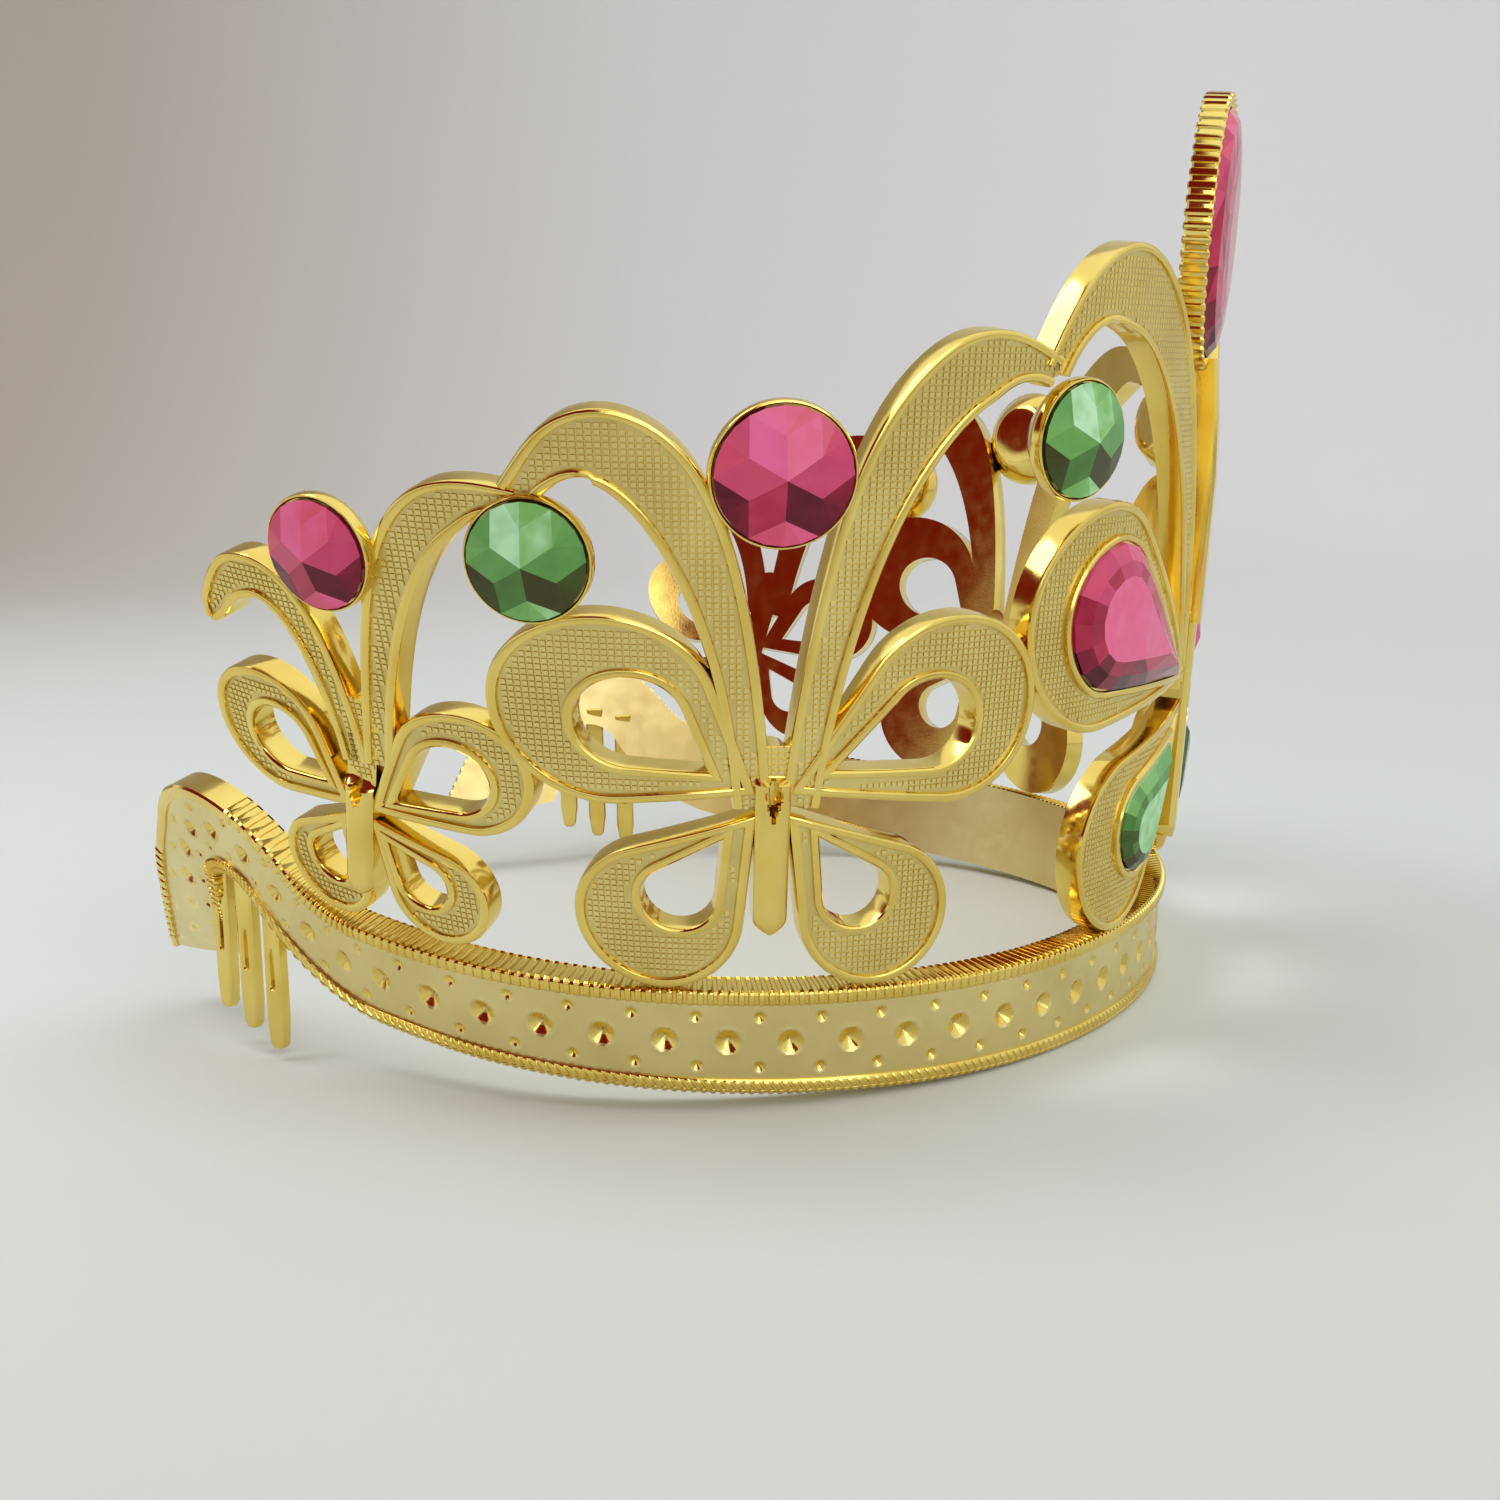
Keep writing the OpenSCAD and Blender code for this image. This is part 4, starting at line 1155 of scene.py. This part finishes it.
def on_oval(points):
    return oval_origin + np.asarray(points, float) @ oval_matrix.T * MM


def oval_ring(grow, height, count=72, start=0.0):
    angles = np.linspace(0, 2 * math.pi, count, endpoint=False) + start
    x, y = (OVAL_W / 2 + grow) * np.cos(angles), (OVAL_H / 2 + grow) * np.sin(angles)
    return np.column_stack([x, y, np.full(count, float(height))])


BACK = LIP - SETTING_DEPTH
setting = Piece([MIRROR_GOLD])
EDGE = SETTING_RIM - 0.32
profile = [
    (-9, BACK), (-4, BACK), (EDGE - 0.3, BACK), (EDGE, BACK + 0.3), (EDGE, LIP - 0.35), (EDGE - 0.2, LIP),
    (1.0, LIP), (0.75, LIP - 0.25), (0.6, LIP - 0.3), (0.35, LIP - 0.05), (0.12, LIP - 0.1), (0.03, 0.1),
    (-4, 0), (-9, 0),
]
points, faces = loft([oval_ring(grow, height) for grow, height in profile])
points = on_oval(points)
setting.add(points, outward_faces(points, faces))
# Length along the edge, measured finely, so that the ribs are evenly spaced.
fine = oval_ring(EDGE, 0, 2000)[:, :2]
steps = np.linalg.norm(np.roll(fine, -1, axis=0) - fine, axis=1)
travelled = np.concatenate([[0], np.cumsum(steps)])
perimeter = travelled[-1]
COIN_RIBS = 58
coin_rib = rib_unit(
    "coin_rib_unit",
    [
        (-0.12, LIP - 0.02), (0.02, LIP - 0.1), (0.06, LIP - 0.5),
        (0.06, BACK + 0.5), (0.02, BACK + 0.1), (-0.12, BACK + 0.02),
    ],
    0.62, 0.26,
)
units.append(coin_rib)
points, faces = baked(ROW_TREE, [(0, 0, 0)], {
    "Unit": coin_rib, "Finish": MIRROR_GOLD, "Count": COIN_RIBS,
    "Start": (0, 0, 0), "Step": (perimeter / COIN_RIBS, 0, 0),
})
angle = np.interp(points[:, 0] % perimeter, travelled, np.linspace(0, 2 * math.pi, 2001))
edge = np.column_stack([(OVAL_W / 2 + EDGE) * np.cos(angle), (OVAL_H / 2 + EDGE) * np.sin(angle)])
normal = np.column_stack([(OVAL_H / 2 + EDGE) * np.cos(angle), (OVAL_W / 2 + EDGE) * np.sin(angle)])
normal /= np.linalg.norm(normal, axis=1)[:, None]
ribs = on_oval(np.column_stack([edge + normal * points[:, 1:2], points[:, 2]]))
setting.add(ribs, faces)
setting.build("oval_setting_visual", ["oval_setting"], "gold_plated")

sides = 20
dome = [
    (-0.05, 0.02), (-0.05, 0.75), (-1.5, 0.58 * OVAL_DOME + 0.2), (-4.2, 0.80 * OVAL_DOME),
    (-7.2, 0.88 * OVAL_DOME),
]
rings = [oval_ring(grow, height, sides, (i % 2) * math.pi / sides) for i, (grow, height) in enumerate(dome)]
rings[1] = oval_ring(dome[1][0], dome[1][1], sides)
points, faces = loft(rings)
faces = [f for f in faces if len(f) == 4 and f[0] < sides or len(f) > 4]
for level in range(1, len(dome) - 1):
    for j in range(sides):
        a, b = level * sides + j, level * sides + (j + 1) % sides
        shifted = level % 2
        c = (level + 1) * sides + (j if shifted else (j + 1) % sides)
        d = (level + 1) * sides + (j + 1) % sides if shifted else (level + 1) * sides + j
        if shifted:
            faces += [[a, b, c], [b, d, c]]
        else:
            faces += [[a, b, c], [a, c, d]]
points = on_oval(points)
faces = outward_faces(points, faces)
# The oval's facets get painted light by their slope.
oval = Piece([PINK]).add(points, faces, 0, facet_painted_lights(points, faces, 0.5, 0.6))
oval.build("oval_stone_visual", ["oval_stone"], "pink_stone", sharp=0)
for unit in units:
    bpy.data.objects.remove(unit)
print("coin-edge ribs:", COIN_RIBS)

# %% [markdown]
# ## Stage
# The tiara stands on a pale sweep: a floor that curves up into a wall, so that no horizon shows. The
# sweep is a loft of one long profile. Its wall carries painted light: it drifts from a warm grey, painted
# shade, on one side to a cool white, painted light, on the other. Its floor is darker in front, out of
# view, because the outer faces lean and mirror it there.

# %% Pale sweep
def make_stage():
    camera_side = Vector((-0.94, -0.34, 0)).normalized()
    across = Vector((-camera_side.y, camera_side.x, 0))
    reach, bend_radius, top = 0.62, 0.45, 1.5
    bend = np.linspace(0, math.pi / 2, 28)
    profile = [(1.6, 0.0), (0.6, 0.0), (0.0, 0.0), (-0.3, 0.0)]
    profile += [(-reach - bend_radius * math.sin(b), bend_radius * (1 - math.cos(b))) for b in bend]
    profile += [(-reach - bend_radius, top)]
    rings = []
    for side in np.linspace(-1.6, 1.6, 9):
        # The floor lies a hair below the tiara, so that the two never share a surface.
        line = [camera_side * x + across * side + Vector((0, 0, z - 0.00002)) for x, z in profile]
        rings.append([tuple(point) for point in line])
    points, faces = loft(rings, around=False, caps=False)
    stage = plain_object("floor_sweep", points, faces)
    stage.data.shade_smooth()
    material, tree, shader = new_material("pale_sweep")
    where = tree.nodes.new("ShaderNodeTexCoord")
    place = where.outputs["Object"]
    behind, sideways = towards(tree, place, -camera_side), towards(tree, place, across)
    floor = ramp(tree, between(tree, behind, -0.6, 0.1), [
        (0.0, (0.36, 0.35, 0.32)), (0.45, (0.52, 0.52, 0.49)), (0.75, (0.71, 0.77, 0.77)),
        (1.0, (0.72, 0.78, 0.78)),
    ])
    # Painted light: the wall is darker and warmer on one side and brighter on the other, as if lit from
    # there.
    painted_wall_light = ramp(tree, between(tree, sideways, -0.35, 0.35), [
        (0.0, (0.54, 0.51, 0.46)), (0.5, (0.78, 0.82, 0.82)), (1.0, (0.90, 0.95, 0.97)),
    ])
    blended = mix(tree, between(tree, behind, 0.15, 0.75), floor, painted_wall_light)
    tree.links.new(blended, shader.inputs["Base Color"])
    shader.inputs["Roughness"].default_value = 0.7
    shader.inputs["Specular IOR Level"].default_value = 0.2
    stage.data.materials.append(material)


make_stage()

# %% [markdown]
# ## Light
# Mirror gold shows what is round it, so the surroundings matter as much as the lamps. The world is a
# pale room, brighter overhead, with a large and a small dark red patch where the far half of the tiara
# mirrors them: they give the deep red seen on the backs of the far wings. Two soft area lamps add the
# bright lines on the rims and a soft shadow.

# %% World and lamps
bpy.context.scene.view_settings.view_transform = "Standard"


def pale_room():
    world = bpy.data.worlds.new("pale_room")
    bpy.context.scene.world = world
    world.use_nodes = True
    tree = world.node_tree
    tree.nodes.clear()
    output = tree.nodes.new("ShaderNodeOutputWorld")
    background = tree.nodes.new("ShaderNodeBackground")
    tree.links.new(background.outputs["Background"], output.inputs["Surface"])
    where = tree.nodes.new("ShaderNodeTexCoord")

    def patch(direction, low, high):
        """A soft round patch in a direction; low and high set where its edge begins and ends."""
        return between(tree, towards(tree, where.outputs["Generated"], direction), low, high, "SMOOTHSTEP")

    overhead = patch((0, 0, 1), 0.05, 0.85)
    room = mix(tree, overhead, (0.80, 0.81, 0.80), (1.08, 1.09, 1.07))
    # Both red patches stop above the horizon.
    large, small = patch((-0.75, 0.56, 0.35), 0.50, 0.66), patch((-0.886, -0.145, 0.44), 0.90, 0.97)
    above = patch((0, 0, 1), 0.12, 0.24)
    red = maths(tree, "MULTIPLY", maths(tree, "MAXIMUM", large, small), above)
    room = mix(tree, red, room, (0.165, 0.010, 0.005))
    tree.links.new(room, background.inputs["Color"])
    background.inputs["Strength"].default_value = 1.0


def area_lamp(name, place, aim, size, power, colour):
    data = bpy.data.lights.new(name, "AREA")
    data.shape = "RECTANGLE"
    data.size, data.size_y = size
    data.energy = power
    data.color = colour
    lamp = bpy.data.objects.new(name, data)
    lamp.location = place
    lamp.rotation_euler = (Vector(aim) - Vector(place)).to_track_quat("-Z", "Y").to_euler()
    bpy.context.scene.collection.objects.link(lamp)


pale_room()
area_lamp("key_lamp", (-0.15, 0.45, 0.75), (0, 0, 0.03), (0.5, 0.4), 2.6, (1.0, 1.0, 0.98))
area_lamp("fill_lamp", (-0.65, -0.55, 0.35), (0, 0, 0.05), (0.6, 0.5), 1.6, (1.0, 1.0, 1.0))

# %% [markdown]
# ## Camera
# The view is from the wearer's right side, a little in front and slightly above, so the near half of
# the tiara shows its outside and the far half its inside. The camera stands close, so the perspective
# is strong: its distance matters as much as its direction.

# %% Camera
AZIMUTH, ELEVATION, ROLL = math.radians(-72.629), math.radians(9.602), math.radians(-1.132)
CAMERA_DISTANCE, LENS = 0.299907, 49.64
aim = Vector((0.006361, 0.058814 - FRONT_TO_ORIGIN * MM, 0.028641))
back = Vector((
    math.sin(AZIMUTH) * math.cos(ELEVATION), -math.cos(AZIMUTH) * math.cos(ELEVATION), math.sin(ELEVATION),
))
right = (-back).cross(Vector((0, 0, 1))).normalized()
up = right.cross(-back)
right_rolled = right * math.cos(ROLL) + up * math.sin(ROLL)
up_rolled = up * math.cos(ROLL) - right * math.sin(ROLL)
camera_data = bpy.data.cameras.new("camera")
camera_data.lens = LENS
camera_data.sensor_width = 36.0
camera_data.clip_start = 0.005
camera = bpy.data.objects.new("camera", camera_data)
turned = Matrix((right_rolled, up_rolled, back)).transposed().to_4x4()
camera.matrix_world = Matrix.Translation(aim + back * CAMERA_DISTANCE) @ turned
bpy.context.scene.collection.objects.link(camera)
bpy.context.scene.camera = camera
